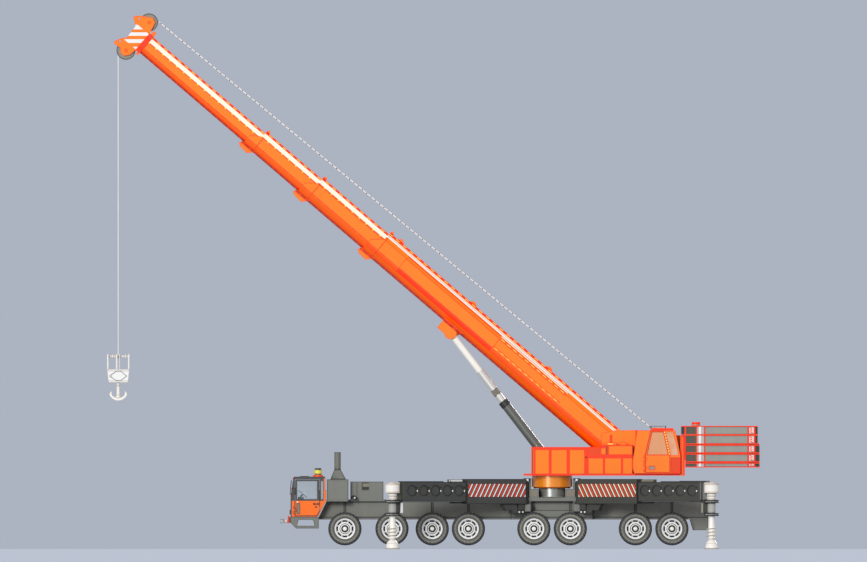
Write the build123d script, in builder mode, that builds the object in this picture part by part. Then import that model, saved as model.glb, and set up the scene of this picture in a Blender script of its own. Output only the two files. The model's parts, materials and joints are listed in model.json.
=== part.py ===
from build123d import *
import os
from math import acos, atan2, cos, degrees, hypot, radians, sin

os.makedirs("parts", exist_ok=True)

# Eight-axle mobile crane standing on its four swing-out outriggers, boom raised and part extended.
# Millimetres. +X is forward, +Y is left, +Z is up, and the outrigger pads stand at Z = 0.
# Lengths along the crane are counted from the slewing axis, which stands at slew_x.

# ---------------------------------------------------------------- running gear
wheel_clear = 160.0            # the tyres hang this far above the floor
tyre_r = 750.0
tyre_w = 445.0
tread_w = 400.0
rim_r = 500.0
barrel_r = 430.0               # inside of the rim, where the knuckle works
rim_w = 400.0
disc_inner = 20.0              # inner face of the wheel disc, outboard of the wheel's centre
hub_steps = ((360.0, 60.0), (330.0, 95.0), (235.0, 140.0), (105.0, 185.0))   # radius, outboard face
track_y = 1255.0
axle_z = wheel_clear + tyre_r
axle_table = (                 # place along the crane, steered
    (9320.0, True),
    (7200.0, True),
    (5390.0, True),
    (3762.0, True),
    (815.0, False),
    (-824.0, False),
    (-3753.0, False),
    (-5396.0, False),
)
sides = (("left", 1.0), ("right", -1.0))
seat = 0.3                     # running gap where a piece turns or slides on its seat

kingpin_inset = 60.0           # kingpin axis, inboard of the wheel's centre
kingpin_y = track_y - kingpin_inset
kingpin_r = 75.0
kingpin_half = 300.0
fork_t = 55.0
fork_w = 148.0                 # its round end turns inside the wheel's disc
fork_root_y = 900.0
stub_r = 120.0
flange_r = 210.0
flange_t = 25.0
beam_h = 240.0
beam_w = 180.0
diff_r = 250.0
strut_r = 70.0
strut_y = 430.0

# ---------------------------------------------------------------- carrier frame
frame_w = 1200.0
frame_low = 1427.0
frame_top = 2129.0
frame_front = 10500.0
frame_rear = -6156.0
flange_low = 1328.0
flange_w = 1320.0
rib_w = 65.0
rib_t = 30.0
deck_t = 99.0
deck_w = 1560.0                # kept inside the stowed jacks
deck_rear = 7480.0
deck_front = 10150.0
hood_w = 2600.0
hood_rear = 9162.0
hood_front = 10130.0
hood_top = 3056.0
hood_wall = 30.0
hood_lid = 76.0
box_rear = 7587.0
box_front = 9072.0
box_top = 3033.0
tail_rear = -7029.0
tail_low = 846.0
tail_top = 2220.0
tail_block = (-6957.0, -6525.0)
tail_block_top = 2980.0
tail_plate = (-7100.0, -5740.0)
tail_plate_t = 90.0
tail_w = 1500.0

# ---------------------------------------------------------------- slewing ring and pedestal
pedestal_x = 1130.0
pedestal_w = 1960.0
pedestal_low = 2142.0
pedestal_top = 2331.0
belly_x = 1835.0               # plate under the pedestal, clear of the fixed wheels
belly_half = 880.0
belly_top = 1733.0
ring_r = 603.0
ring_top = 2745.0
cheek_x = (620.0, 1050.0)
cheek_top = 2696.0
drum_r = 913.0
drum_edge = 110.0

# ---------------------------------------------------------------- outriggers
hinge_x = 1180.0
hinge_y = 1150.0
jack_x = 7180.0                # jacks' places along the crane with the arms swung out
arm_reach = 7080.0             # hinge to jack
splay = degrees(acos((jack_x - hinge_x) / arm_reach))
post_r = 105.0
post_top = 3186.0
post_low = 1680.0
arm_box = (115.0, 3270.0, 2030.0, 3150.0, 460.0)     # from, to, low, top, width
arm_beam = (3270.0, 6640.0, 2133.0, 3015.0, 340.0)
arm_panel = (165.0, 3210.0, 2340.0, 2935.0, 12.0)    # from, to, low, top, thickness
beam_hole_r = 235.0
beam_hole_depth = 40.0          # blind from each side face
beam_hole_pitch = 625.0
beam_holes = 5
beam_hole_z = 2625.0
beam_hole_inset = 948.0        # last hole's centre, inboard of the jack
head_top = 2951.0
head_rows = (                  # turned steps from the bottom up: top, radius
    (1526.0, 335.0),
    (1580.0, 300.0),
    (1612.0, 335.0),
    (2072.0, 178.0),
    (2109.0, 335.0),
    (2160.0, 300.0),
    (2205.0, 335.0),
    (2250.0, 190.0),
    (2380.0, 176.0),
    (2515.0, 206.0),
    (2561.0, 339.0),
    (2900.0, 322.0),
    (2951.0, 339.0),
    (2997.0, 200.0),
)
clamp_low = 1487.0
pocket_top = 1560.0            # pocket in the lower clamp that takes the coil
leg_r = 140.0
leg_top = 2050.0
coil_r = 256.0
coil_low = 400.0
coil_top = 1068.0
coil_turns = 4
coil_t = 46.0
foot_rows = (                  # foot from the floor up: height, radius
    (0.0, 320.0),
    (20.0, 335.0),
    (58.0, 320.0),
    (58.0, 293.0),
    (253.0, 270.0),
    (391.0, 161.0),
)
jack_clear = 12.0              # coil to its pocket with the jack drawn up
jack_travel = pocket_top - coil_top - jack_clear

# ---------------------------------------------------------------- superstructure
body_low = 3303.0
floor_t = 90.0
body_front = 909.0
bay_rear = -1476.0
bay_gap = 124.0
ledge_t = 40.0
body_rear = -5976.0
front_top = 4590.0
lip = ((909.0, 3303.0), (1250.0, 3303.0), (1307.0, 3345.0), (1250.0, 3390.0), (909.0, 3390.0))
half_w = 1300.0                # half width of the side boxes
bay_half = 1020.0              # front bay, where the luffing cylinders work
web_half = 520.0               # rear bay, where the boom foot works
web_t = 70.0
low_top = 4109.0
body_mid = -3625.0             # rear end of the side boxes, ahead of the operator's cab
house_top = 4900.0             # machinery house on the right, beside the winch
step_top = 4550.0
step_rear = -2200.0
deck2_top = 4680.0
foot_rear = -3767.0
foot_plate = (                 # plates that carry the boom's foot pin
    (-2227.0, 3303.0),
    (-2227.0, 5170.0),
    (-2313.0, 5240.0),
    (-2542.0, 5256.0),
    (-2700.0, 5327.0),
    (-3719.0, 5355.0),
    (-3767.0, 5355.0),
    (-3767.0, 3303.0),
)
panel_t = 12.0
side_panels = (                # raised panels of the side boxes: from, to, low, top
    (814.0, 895.0, 3385.0, 4460.0),
    (131.0, 751.0, 3385.0, 4460.0),
    (-670.0, 27.0, 3385.0, 4460.0),
    (-1462.0, -797.0, 3385.0, 4460.0),
    (-2300.0, -1640.0, 3385.0, 4085.0),
    (-3110.0, -2380.0, 3385.0, 4085.0),
    (-3605.0, -3190.0, 3385.0, 4085.0),
    (-2415.0, -2215.0, 4260.0, 4535.0),
    (-3605.0, -2556.0, 4250.0, 4640.0),
)
foot_bar = (-2686.0, -2614.0, 5126.0, 70.0)          # from, to, top, how far it stands out
foot_ledge = (-2916.0, -2340.0, 4767.0, 400.0)
foot_bump = (-3203.0, 4640.0, 172.0, 500.0)          # place, height of its middle, radius, depth
winch_x = -4750.0
winch_z = 5060.0
winch_r = 445.0
winch_core = 300.0
winch_half = 500.0
winch_shaft = 60.0
column_top = 5120.0            # stays under the top slab's rim

# ---------------------------------------------------------------- operator's cab
cab2_front = -3690.0
cab2_belly = (-3630.0, 3648.0, 4021.0)               # front wall's bulge: place, low, top
cab2_screen = (4336.0, 5200.0)                       # windscreen, low and top
cab2_front_top = -3834.0
cab2_rear = -5774.0
cab2_rear_top = -5556.0
cab2_waist = 4226.0
cab2_top = 5341.0
cab2_roof = (-5469.0, -4465.0, 5441.0)
cab2_in = 640.0
cab2_out = 1500.0
cab2_wall = 60.0
glass_t = 8.0

# ---------------------------------------------------------------- counterweight
slab_rows = (                  # low, top
    (3708.0, 3843.0),
    (3947.0, 4248.0),
    (4352.0, 4649.0),
    (4752.0, 5099.0),
    (5171.0, 5499.0),
)
slab_front = -5990.0
slab_top_front = -5797.0
slab_rear = -9351.0
slab_top_rear = -9272.0
slab_half = 1480.0
rim_out = 30.0
rim_t = 42.0

# ---------------------------------------------------------------- boom
boom_angle = 40.6
pivot_x = -2970.0
pivot_z = 4491.0
wall = 20.0
pad_gap = 0.5
base_s = (380.0, 14100.0)      # from and to, along the boom from its foot pin
s2_s = (5000.0, 18000.0)
s3_s = (8700.0, 21280.0)
s4_s = (15550.0, 28000.0)
base_hw = (1440.0, 1000.0)     # height and width
s2_hw = (1270.0, 850.0)
s3_hw = (1110.0, 710.0)
s4_hw = (930.0, 560.0)
foot_r = 430.0
foot_pin_r = 120.0
collar_len = 420.0
collar_lip = 55.0
tail_len = 300.0

# ---------------------------------------------------------------- luffing cylinders
luff_foot_x = 108.0
luff_foot_z = 3915.0
luff_top_x = 4568.0
luff_top_z = 9720.0
luff_y = 785.0
barrel_out_r = 215.0
barrel_len = 5150.0            # up to the top of the guide tube
gland_top = 3450.0
gland_r = 235.0
gland_len = 260.0
guide_r = 172.0                # narrower tube above the gland
guide_clamp = (3830.0, 4110.0, 330.0)                # clamp on the guide tube: from, to, width
rod_r = 150.0
eye_r = 230.0
eye_w = 260.0
luff_pin_r = 90.0

# ---------------------------------------------------------------- boom head and hook
sheaves = (                    # along the boom, above its axis, radius
    ("upper", 28524.0, 848.0, 405.0),
    ("lower", 28492.0, -780.0, 425.0),
)
groove_depth = 95.0
sheave_t = 80.0
rope_r = 20.0
falls_y = 120.0
sheave_y = (-falls_y, 0.0, falls_y)
head_plate_t = 40.0
head_half = 225.0
shaft_r = 60.0
block_top = 8772.0
block_w = 1025.0
block_plate_h = 683.0
block_body_h = 592.0
shank_len = 583.0
shank_r = 73.0
hook_w = 844.0
hook_low = 6673.0

boom_c = cos(radians(boom_angle))
boom_s = sin(radians(boom_angle))
falls_sheave_x = pivot_x + sheaves[1][1] * boom_c - sheaves[1][2] * boom_s
falls_sheave_z = pivot_z + sheaves[1][1] * boom_s + sheaves[1][2] * boom_c
block_x = falls_sheave_x + sheaves[1][3] - groove_depth + rope_r     # under the ropes
slew_x = -(block_x + block_w / 2 + slab_rear) / 2


def side(y=0.0):
    # upright plane along the crane; what is extruded from it grows to the right, away from +Y
    return Plane(origin=(slew_x, y, 0), x_dir=(1, 0, 0), z_dir=(0, -1, 0))


def outline(plane, points):
    with BuildSketch(plane) as face:
        with BuildLine():
            Polyline(*points, close=True)
        make_face()
    return face.sketch


def block(x_range, y_range, z_range, mode=Mode.ADD):
    middle = [(low + high) / 2 for low, high in (x_range, y_range, z_range)]
    lengths = [abs(high - low) for low, high in (x_range, y_range, z_range)]
    with Locations((slew_x + middle[0], middle[1], middle[2])):
        Box(*lengths, mode=mode)


def both(half_inner, half_outer):
    # the two lateral bands that mirror each other about the middle plane
    return ((half_inner, half_outer), (-half_outer, -half_inner))


def finish(piece, label):
    piece.part.label = label
    export_step(piece.part, f"parts/{label}.step")


# ================================================================ wheels, knuckles and axles
def wheel_plane(x, turn):
    # through the wheel's centre, local x outboard and local y up
    return Plane(
        origin=(slew_x + x, turn * track_y, axle_z), x_dir=(0, turn, 0), z_dir=(turn, 0, 0)
    )


def make_wheel(x, turn, label):
    shoulder = tyre_r - 110
    with BuildPart() as wheel:
        with BuildSketch(wheel_plane(x, turn)):
            with BuildLine():
                Polyline(
                    (disc_inner, 0),
                    (disc_inner, barrel_r),
                    (-rim_w / 2, barrel_r),
                    (-rim_w / 2, rim_r),
                    (-tyre_w / 2, shoulder),
                    (-tread_w / 2, tyre_r),
                    (tread_w / 2, tyre_r),
                    (tyre_w / 2, shoulder),
                    (rim_w / 2, rim_r),
                    (rim_w / 2 - 20, rim_r - 45),
                    (hub_steps[0][1], hub_steps[0][0]),
                    (hub_steps[1][1], hub_steps[1][0]),
                    (hub_steps[1][1], hub_steps[2][0]),
                    (hub_steps[2][1], hub_steps[2][0]),
                    (hub_steps[2][1], hub_steps[3][0]),
                    (hub_steps[3][1], hub_steps[3][0]),
                    (hub_steps[3][1], 0),
                    close=True,
                )
            make_face()
        revolve(axis=Axis((slew_x + x, 0, axle_z), (0, 1, 0)))
    finish(wheel, label)


def make_knuckle(x, turn, label):
    hub_end = track_y + disc_inner - seat
    with BuildPart() as knuckle:
        with Locations((slew_x + x, turn * kingpin_y, axle_z)):
            Cylinder(kingpin_r, 2 * (kingpin_half - seat))
        with Locations(Location((slew_x + x, turn * (kingpin_y + hub_end) / 2, axle_z), (90, 0, 0))):
            Cylinder(stub_r, hub_end - kingpin_y)
        with Locations(Location((slew_x + x, turn * (hub_end - flange_t / 2), axle_z), (90, 0, 0))):
            Cylinder(flange_r, flange_t)
    finish(knuckle, label)


for number, (axle_x, steered) in enumerate(axle_table, start=1):
    for side_name, turn in sides:
        make_wheel(axle_x, turn, f"wheel_{side_name}_{number}")
        if steered:
            make_knuckle(axle_x, turn, f"knuckle_{side_name}_{number}")

with BuildPart() as axles:
    for axle_x, steered in axle_table:
        beam_end = fork_root_y if steered else track_y + disc_inner - seat
        with Locations((slew_x + axle_x, 0, axle_z)):
            Box(beam_w, 2 * fork_root_y, beam_h)
            Sphere(diff_r)
        for side_name, turn in sides:
            with Locations((slew_x + axle_x, turn * strut_y, (axle_z + flange_low) / 2)):
                Cylinder(strut_r, flange_low - axle_z)
            if steered:
                for up in (1, -1):
                    fork_z = axle_z + up * (kingpin_half + fork_t / 2)
                    fork_y = (fork_root_y - beam_w / 2 + kingpin_y) / 2
                    with Locations((slew_x + axle_x, turn * fork_y, fork_z)):
                        Box(fork_w, kingpin_y - fork_root_y + beam_w / 2, fork_t)
                    with Locations((slew_x + axle_x, turn * kingpin_y, fork_z)):
                        Cylinder(fork_w / 2, fork_t)
                with Locations((slew_x + axle_x, turn * (fork_root_y - beam_w / 4), axle_z)):
                    Box(fork_w, beam_w / 2, 2 * (kingpin_half + fork_t))
            else:
                stub_y = (fork_root_y + beam_end) / 2
                with Locations(Location((slew_x + axle_x, turn * stub_y, axle_z), (90, 0, 0))):
                    Cylinder(stub_r, beam_end - fork_root_y)
                flange_y = turn * (beam_end - flange_t / 2)
                with Locations(Location((slew_x + axle_x, flange_y, axle_z), (90, 0, 0))):
                    Cylinder(flange_r, flange_t)
finish(axles, "axles")

# ================================================================ carrier frame
hull_points = (
    (frame_front, frame_low),
    (deck_front, frame_top),
    (frame_rear, frame_top),
    (tail_rear, tail_top),
    (tail_rear, tail_low),
    (tail_rear + 691, tail_low),
    (frame_rear, frame_low),
)
with BuildPart() as chassis_frame:
    extrude(outline(side(frame_w / 2), hull_points), amount=frame_w)
    block((frame_rear, frame_front), (-flange_w / 2, flange_w / 2), (flange_low, frame_low))
    for axle_x, steered in axle_table:
        for y_range in both(frame_w / 2, frame_w / 2 + rib_t):
            block((axle_x - rib_w / 2, axle_x + rib_w / 2), y_range, (frame_low, frame_top))
    block((-pedestal_x, pedestal_x), (-pedestal_w / 2, pedestal_w / 2), (pedestal_low, pedestal_top))
    block((-pedestal_x, pedestal_x), (-frame_w / 2, frame_w / 2), (frame_top, pedestal_low))
    block((-belly_x, belly_x), (-belly_half, belly_half), (flange_low, belly_top))
    for ahead in (1, -1):
        block(
            (ahead * cheek_x[0], ahead * cheek_x[1]),
            (-pedestal_w / 2, pedestal_w / 2),
            (pedestal_top, cheek_top),
        )
        # forked brackets that carry the four hinge posts
        for across in (1, -1):
            for z_range in (
                (post_low, arm_box[2] - seat),
                (arm_box[3] + seat, post_top),
            ):
                block(
                    (ahead * (cheek_x[1] - 100), ahead * (hinge_x + post_r)),
                    (across * (pedestal_w / 2 - 260), across * (hinge_y + post_r)),
                    z_range,
                )
            block(
                (ahead * (cheek_x[1] - 100), ahead * cheek_x[1]),
                (across * (pedestal_w / 2 - 260), across * pedestal_w / 2),
                (post_low, post_top),
            )
    block(tail_block, (-tail_w / 2 + 300, tail_w / 2 - 300), (tail_top - 200, tail_block_top))
    block(tail_plate, (-tail_w / 2, tail_w / 2), (tail_block_top, tail_block_top + tail_plate_t))
finish(chassis_frame, "chassis_frame")

with BuildPart() as carrier_deck:
    block((deck_rear, deck_front), (-deck_w / 2, deck_w / 2), (frame_top + seat, frame_top + deck_t))
    block((hood_rear, deck_front), (-hood_w / 2, hood_w / 2), (frame_top + seat, frame_top + deck_t))
    block((hood_rear, hood_front), (-hood_w / 2, hood_w / 2), (frame_top + deck_t, hood_top + hood_lid))
    block(
        (hood_rear + hood_wall, hood_front - hood_wall),
        (-hood_w / 2 + hood_wall, hood_w / 2 - hood_wall),
        (frame_top + deck_t, hood_top),
        mode=Mode.SUBTRACT,
    )
    block((box_rear, box_front), (-deck_w / 2, deck_w / 2), (frame_top + deck_t, box_top))
    # inspection recess in each side of the rear box
    for y_range in both(deck_w / 2 - 40, deck_w / 2):
        block((8260.0, 8535.0), y_range, (2670.0, 2970.0), mode=Mode.SUBTRACT)
finish(carrier_deck, "carrier_deck")

engine_gap = 60.0
with BuildPart() as engine:
    block(
        (hood_rear + hood_wall + engine_gap, hood_front - hood_wall - engine_gap),
        (-450.0, 450.0),
        (frame_top + deck_t + seat, hood_top - engine_gap),
    )
finish(engine, "engine")

exhaust_y = -1000.0
exhaust_base = (9270.0, 9977.0, 3164.0)
exhaust_neck = (9504.0, 9797.0, 3569.0)
exhaust_top = 4356.0
exhaust_depth = 560.0
with BuildPart() as exhaust_stack:
    exhaust_x = (exhaust_neck[0] + exhaust_neck[1]) / 2
    neck_d = exhaust_neck[1] - exhaust_neck[0]
    with BuildSketch(Plane(origin=(slew_x, exhaust_y, hood_top + hood_lid + seat))):
        with Locations(((exhaust_base[0] + exhaust_base[1]) / 2, 0)):
            Rectangle(exhaust_base[1] - exhaust_base[0], exhaust_depth)
    with BuildSketch(Plane(origin=(slew_x, exhaust_y, exhaust_neck[2]))):
        with Locations((exhaust_x, 0)):
            Rectangle(neck_d, neck_d)
    loft(ruled=True)
    with Locations((slew_x + exhaust_x, exhaust_y, (exhaust_neck[2] + exhaust_top) / 2)):
        Cylinder(neck_d / 2, exhaust_top - exhaust_neck[2])
        Cylinder(neck_d / 2 - 15, exhaust_top - exhaust_neck[2], mode=Mode.SUBTRACT)
finish(exhaust_stack, "exhaust_stack")

# ================================================================ outriggers
arm_root = (170.0, 500.0, 1733.0, 2030.0, 300.0)     # from, to, low, top, width
arm_bracket = ((454.0, 1733.0), (556.0, 2030.0), (1301.0, 2030.0), (1148.0, 1733.0))
arm_lug = (170.0, 811.0, 1604.0, 1733.0, 230.0)
arm_lug_pins = ((251.0, 1665.0), (436.0, 1665.0))
arm_lug_pin_r = 40.0
bore_spare = 40.0              # above the jack's leg when it is drawn up
pocket_gap = 8.0
arm_block = (3371.0, 4087.0, 3130.0, 240.0)          # from, to, top, width
arm_strip = (4460.0, 6700.0, 3050.0, 300.0)
bracket_foot = 6780.0


def hinge_frame(ahead, across):
    # upright plane through the arm's middle, local x out along the arm and local y up
    along = (ahead * cos(radians(splay)), across * sin(radians(splay)), 0)
    foot = (slew_x + ahead * hinge_x, across * hinge_y, 0)
    return Plane(origin=foot, x_dir=along, z_dir=(along[1], -along[0], 0))


def bar(plane, u_range, z_range, width, mode=Mode.ADD):
    # rectangular bar in an upright plane, as wide on either side of it
    corners = [(u, z) for u, z in zip((0, 1, 1, 0), (0, 0, 1, 1))]
    points = [(u_range[u], z_range[z]) for u, z in corners]
    extrude(outline(plane, points), amount=width / 2, both=True, mode=mode)


def drum(plane, u, z_range, radius, mode=Mode.ADD):
    # upright cylinder on an upright plane's local x
    foot = plane.from_local_coords((u, 0, 0))
    with Locations((foot.X, foot.Y, (z_range[0] + z_range[1]) / 2)):
        Cylinder(radius, z_range[1] - z_range[0], mode=mode)


for ahead_name, ahead in (("front", 1.0), ("rear", -1.0)):
    for side_name, across in sides:
        upright = hinge_frame(ahead, across)
        tip = arm_reach
        with BuildPart() as arm:
            bar(upright, arm_box[0:2], arm_box[2:4], arm_box[4])
            drum(upright, 0, arm_box[2:4], post_r)
            bar(upright, (0, arm_box[0]), arm_box[2:4], post_r)
            bar(upright, arm_beam[0:2], arm_beam[2:4], arm_beam[4])
            bar(upright, arm_panel[0:2], arm_panel[2:4], arm_box[4] + 2 * arm_panel[4])
            extrude(outline(upright, arm_bracket), amount=arm_lug[4] / 2, both=True)
            bar(upright, arm_lug[0:2], arm_lug[2:4], arm_lug[4])
            bar(upright, arm_root[0:2], arm_root[2:4], arm_root[4])
            for u, z in arm_lug_pins:
                with BuildSketch(upright):
                    with Locations((u, z)):
                        Circle(arm_lug_pin_r)
                extrude(amount=arm_lug[4] / 2 + 20, both=True)
            bar(upright, arm_block[0:2], (arm_beam[3], arm_block[2]), arm_block[3])
            bar(upright, arm_strip[0:2], (arm_beam[3], arm_strip[2]), arm_strip[3])
            jack_bracket = (
                (arm_beam[1] - 10, arm_beam[3]),
                (tip, head_top),
                (tip, clamp_low),
                (bracket_foot, clamp_low),
                (arm_beam[1] - 10, arm_beam[2]),
            )
            extrude(outline(upright, jack_bracket), amount=arm_beam[4] / 4, both=True)
            for face in (-1, 1):
                floor = face * (arm_beam[4] / 2 - beam_hole_depth)
                with BuildSketch(upright.offset(floor)):
                    for hole in range(beam_holes):
                        with Locations((tip - beam_hole_inset - hole * beam_hole_pitch, beam_hole_z)):
                            Circle(beam_hole_r)
                extrude(amount=face * beam_hole_depth, mode=Mode.SUBTRACT)
            row_low = clamp_low
            for row_top, row_r in head_rows:
                drum(upright, tip, (row_low, row_top), row_r)
                row_low = row_top
            bore_top = leg_top + jack_travel + bore_spare
            drum(upright, tip, (clamp_low, bore_top), leg_r + seat, mode=Mode.SUBTRACT)
            drum(upright, tip, (clamp_low, pocket_top), coil_r + pocket_gap, mode=Mode.SUBTRACT)
        finish(arm, f"outrigger_arm_{ahead_name}_{side_name}")

        jack_place = upright.from_local_coords((tip, 0, 0))
        coil_pitch = (coil_top - coil_low - coil_t) / (coil_turns - 1)
        coil_points = []
        for turn_number in range(coil_turns):
            low = coil_low + turn_number * coil_pitch
            coil_points.append((leg_r, low))
            coil_points.append((coil_r, low + 0.3 * coil_t))
            coil_points.append((coil_r, low + 0.7 * coil_t))
            coil_points.append((leg_r, low + coil_t))
        with BuildPart() as jack:
            with BuildSketch(
                Plane(origin=(jack_place.X, jack_place.Y, 0), x_dir=(1, 0, 0), z_dir=(0, -1, 0))
            ):
                with BuildLine():
                    Polyline(
                        (0, 0),
                        *[(radius, height) for height, radius in foot_rows],
                        *coil_points,
                        (leg_r, leg_top),
                        (0, leg_top),
                        close=True,
                    )
                make_face()
            revolve(axis=Axis((jack_place.X, jack_place.Y, 0), (0, 0, 1)))
        finish(jack, f"outrigger_jack_{ahead_name}_{side_name}")

# ================================================================ slewing ring and superstructure
with BuildPart() as slewing_ring:
    with Locations((slew_x, 0, (pedestal_top + ring_top) / 2)):
        Cylinder(ring_r, ring_top - seat - pedestal_top)
finish(slewing_ring, "slewing_ring")

with BuildPart() as superstructure_frame:
    # turntable drum with its rounded lower edge
    with BuildSketch(side()):
        with BuildLine():
            Polyline(
                (0, ring_top),
                (drum_r - drum_edge, ring_top),
                (drum_r, ring_top + drum_edge),
                (drum_r, body_low),
                (0, body_low),
                close=True,
            )
        make_face()
    revolve(axis=Axis((slew_x, 0, 0), (0, 0, 1)))
    block((body_rear, body_front), (-half_w, half_w), (body_low, body_low + floor_t))
    extrude(outline(side(half_w), lip), amount=2 * half_w)
    for y_range in both(bay_half, half_w):
        block((bay_rear, body_front), y_range, (body_low, front_top))
    for y_range in both(web_half, half_w):
        block((body_mid, bay_rear), y_range, (body_low, low_top))
    block((cab2_rear, body_mid), (-half_w, -web_half), (body_low, house_top))
    for y_range in both(web_half, web_half + web_t):
        extrude(outline(side(max(y_range)), foot_plate), amount=web_t)
        block((cab2_rear, foot_rear), y_range, (body_low, column_top))
    for y_range in both(web_half + web_t, web_half + web_t + foot_bar[3]):
        block(foot_bar[0:2], y_range, (deck2_top, foot_bar[2]))
    for y_range in both(web_half + web_t, web_half + web_t + foot_ledge[3]):
        block(foot_ledge[0:2], y_range, (deck2_top, foot_ledge[2]))
    for y_range in both(web_half + web_t, web_half + web_t + foot_bump[3]):
        with Locations(Location((slew_x + foot_bump[0], sum(y_range) / 2, foot_bump[1]), (90, 0, 0))):
            Cylinder(foot_bump[2], foot_bump[3])
    for panel in side_panels:
        for y_range in both(half_w - panel_t, half_w + panel_t):
            block(panel[0:2], y_range, panel[2:4])
    for y_range in both(web_half, half_w):
        block((step_rear, bay_rear - bay_gap), y_range, (low_top, step_top))
        block((body_mid, step_rear), y_range, (low_top, deck2_top))
        block((bay_rear - bay_gap, bay_rear), y_range, (low_top, low_top + ledge_t))
    # rear column that the counterweight hangs on
    block((body_rear, cab2_rear), (-half_w, half_w), (body_low, column_top))
    # boom foot pin and the two pins at the luffing cylinders' feet
    for y_range in both(base_hw[1] / 2 + pad_gap, web_half + web_t + 40):
        with Locations(Location((slew_x + pivot_x, sum(y_range) / 2, pivot_z), (90, 0, 0))):
            Cylinder(foot_pin_r, abs(y_range[1] - y_range[0]))
    for y_range in both(luff_y - eye_w / 2, bay_half):
        with Locations(Location((slew_x + luff_foot_x, sum(y_range) / 2, luff_foot_z), (90, 0, 0))):
            Cylinder(luff_pin_r, abs(y_range[1] - y_range[0]))
finish(superstructure_frame, "superstructure_frame")

winch_place = Location((slew_x + winch_x, 0, winch_z), (90, 0, 0))
with BuildPart() as winch_drum:
    with Locations(winch_place):
        Cylinder(winch_core, 2 * (winch_half - seat))
        Cylinder(winch_shaft, 2 * (web_half - seat))
    for y in (winch_half - 20 - seat, -winch_half + 20 + seat):
        with Locations(Location((slew_x + winch_x, y, winch_z), (90, 0, 0))):
            Cylinder(winch_r, 40)
finish(winch_drum, "winch_drum")

# ================================================================ operator's cab
cab2_door_front = -4200.0
cab2_door_rear = -5300.0
door_gap = 12.0
hinge_gap = 5.0
cab2_points = (
    (cab2_front, body_low + floor_t),
    (cab2_belly[0], cab2_belly[1]),
    (cab2_belly[0], cab2_belly[2]),
    (cab2_front, cab2_screen[0]),
    (cab2_front_top, cab2_top),
    (cab2_rear_top, cab2_top),
    (cab2_rear, cab2_waist),
    (cab2_rear, body_low + floor_t),
)
cab2_door = (
    (cab2_door_front, body_low + floor_t + 60),
    (cab2_door_front, cab2_waist - 20),
    (cab2_door_front - 250, cab2_top - 35),
    (cab2_door_rear + 250, cab2_top - 35),
    (cab2_door_rear, cab2_waist - 20),
    (cab2_door_rear, body_low + floor_t + 60),
)
cab2_window = ((-4265.0, 4226.0), (-4490.0, 5274.0), (-5020.0, 5274.0), (-5235.0, 4226.0))
cab2_rear_window = ((-5350.0, 4226.0), (-5120.0, 5274.0), (-5441.0, 5274.0), (-5690.0, 4226.0))
cab2_grab = (-4638.0, -4365.0, 3562.0, 3735.0)       # recess in the door
cab2_recess = (-5740.0, -5355.0, 3440.0, 4108.0)     # recess behind the door
recess_depth = 28.0
hinge_pin_r = 20.0
hinge_len = 110.0
leaf = 75.0
leaf_t = 12.0


def ring_of(plane, points, inset):
    # outline shrunk all round on its own plane
    with BuildSketch(plane) as face:
        with BuildLine():
            Polyline(*points, close=True)
        make_face()
        offset(amount=-inset, kind=Kind.INTERSECTION, mode=Mode.REPLACE)
    return face.sketch


def hinge_row(axis_x, turn, face_y, heights, on_door):
    # barrels on a door, or the barrels above and below them on its frame
    pin_y = face_y + hinge_pin_r + 2
    reach = (axis_x - leaf, axis_x) if on_door else (axis_x, axis_x + leaf)
    for z in heights:
        shifts = (0,) if on_door else (hinge_len, -hinge_len)
        for shift in shifts:
            z_range = (z + shift - (hinge_len - seat) / 2, z + shift + (hinge_len - seat) / 2)
            with Locations((slew_x + axis_x, turn * pin_y, sum(z_range) / 2)):
                Cylinder(hinge_pin_r, hinge_len - seat)
            block(reach, (turn * face_y, turn * (pin_y - hinge_pin_r + leaf_t)), z_range)


def make_door(label, turn, face_y, thickness, door_points, window_points, axis_x, heights, grab):
    # panel as thick as the wall, with its pane in a seat of its own
    start = side(face_y) if turn > 0 else side(-face_y + thickness)
    middle = face_y - thickness / 2
    with BuildPart() as door:
        extrude(outline(start, door_points), amount=thickness)
        extrude(outline(start, window_points), amount=thickness, mode=Mode.SUBTRACT)
        block(
            grab[0:2], (turn * (face_y - recess_depth), turn * face_y), grab[2:4], mode=Mode.SUBTRACT
        )
        hinge_row(axis_x, turn, face_y, heights, on_door=True)
        extrude(ring_of(side(turn * middle), window_points, seat), amount=glass_t / 2, both=True)
    finish(door, label)


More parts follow.
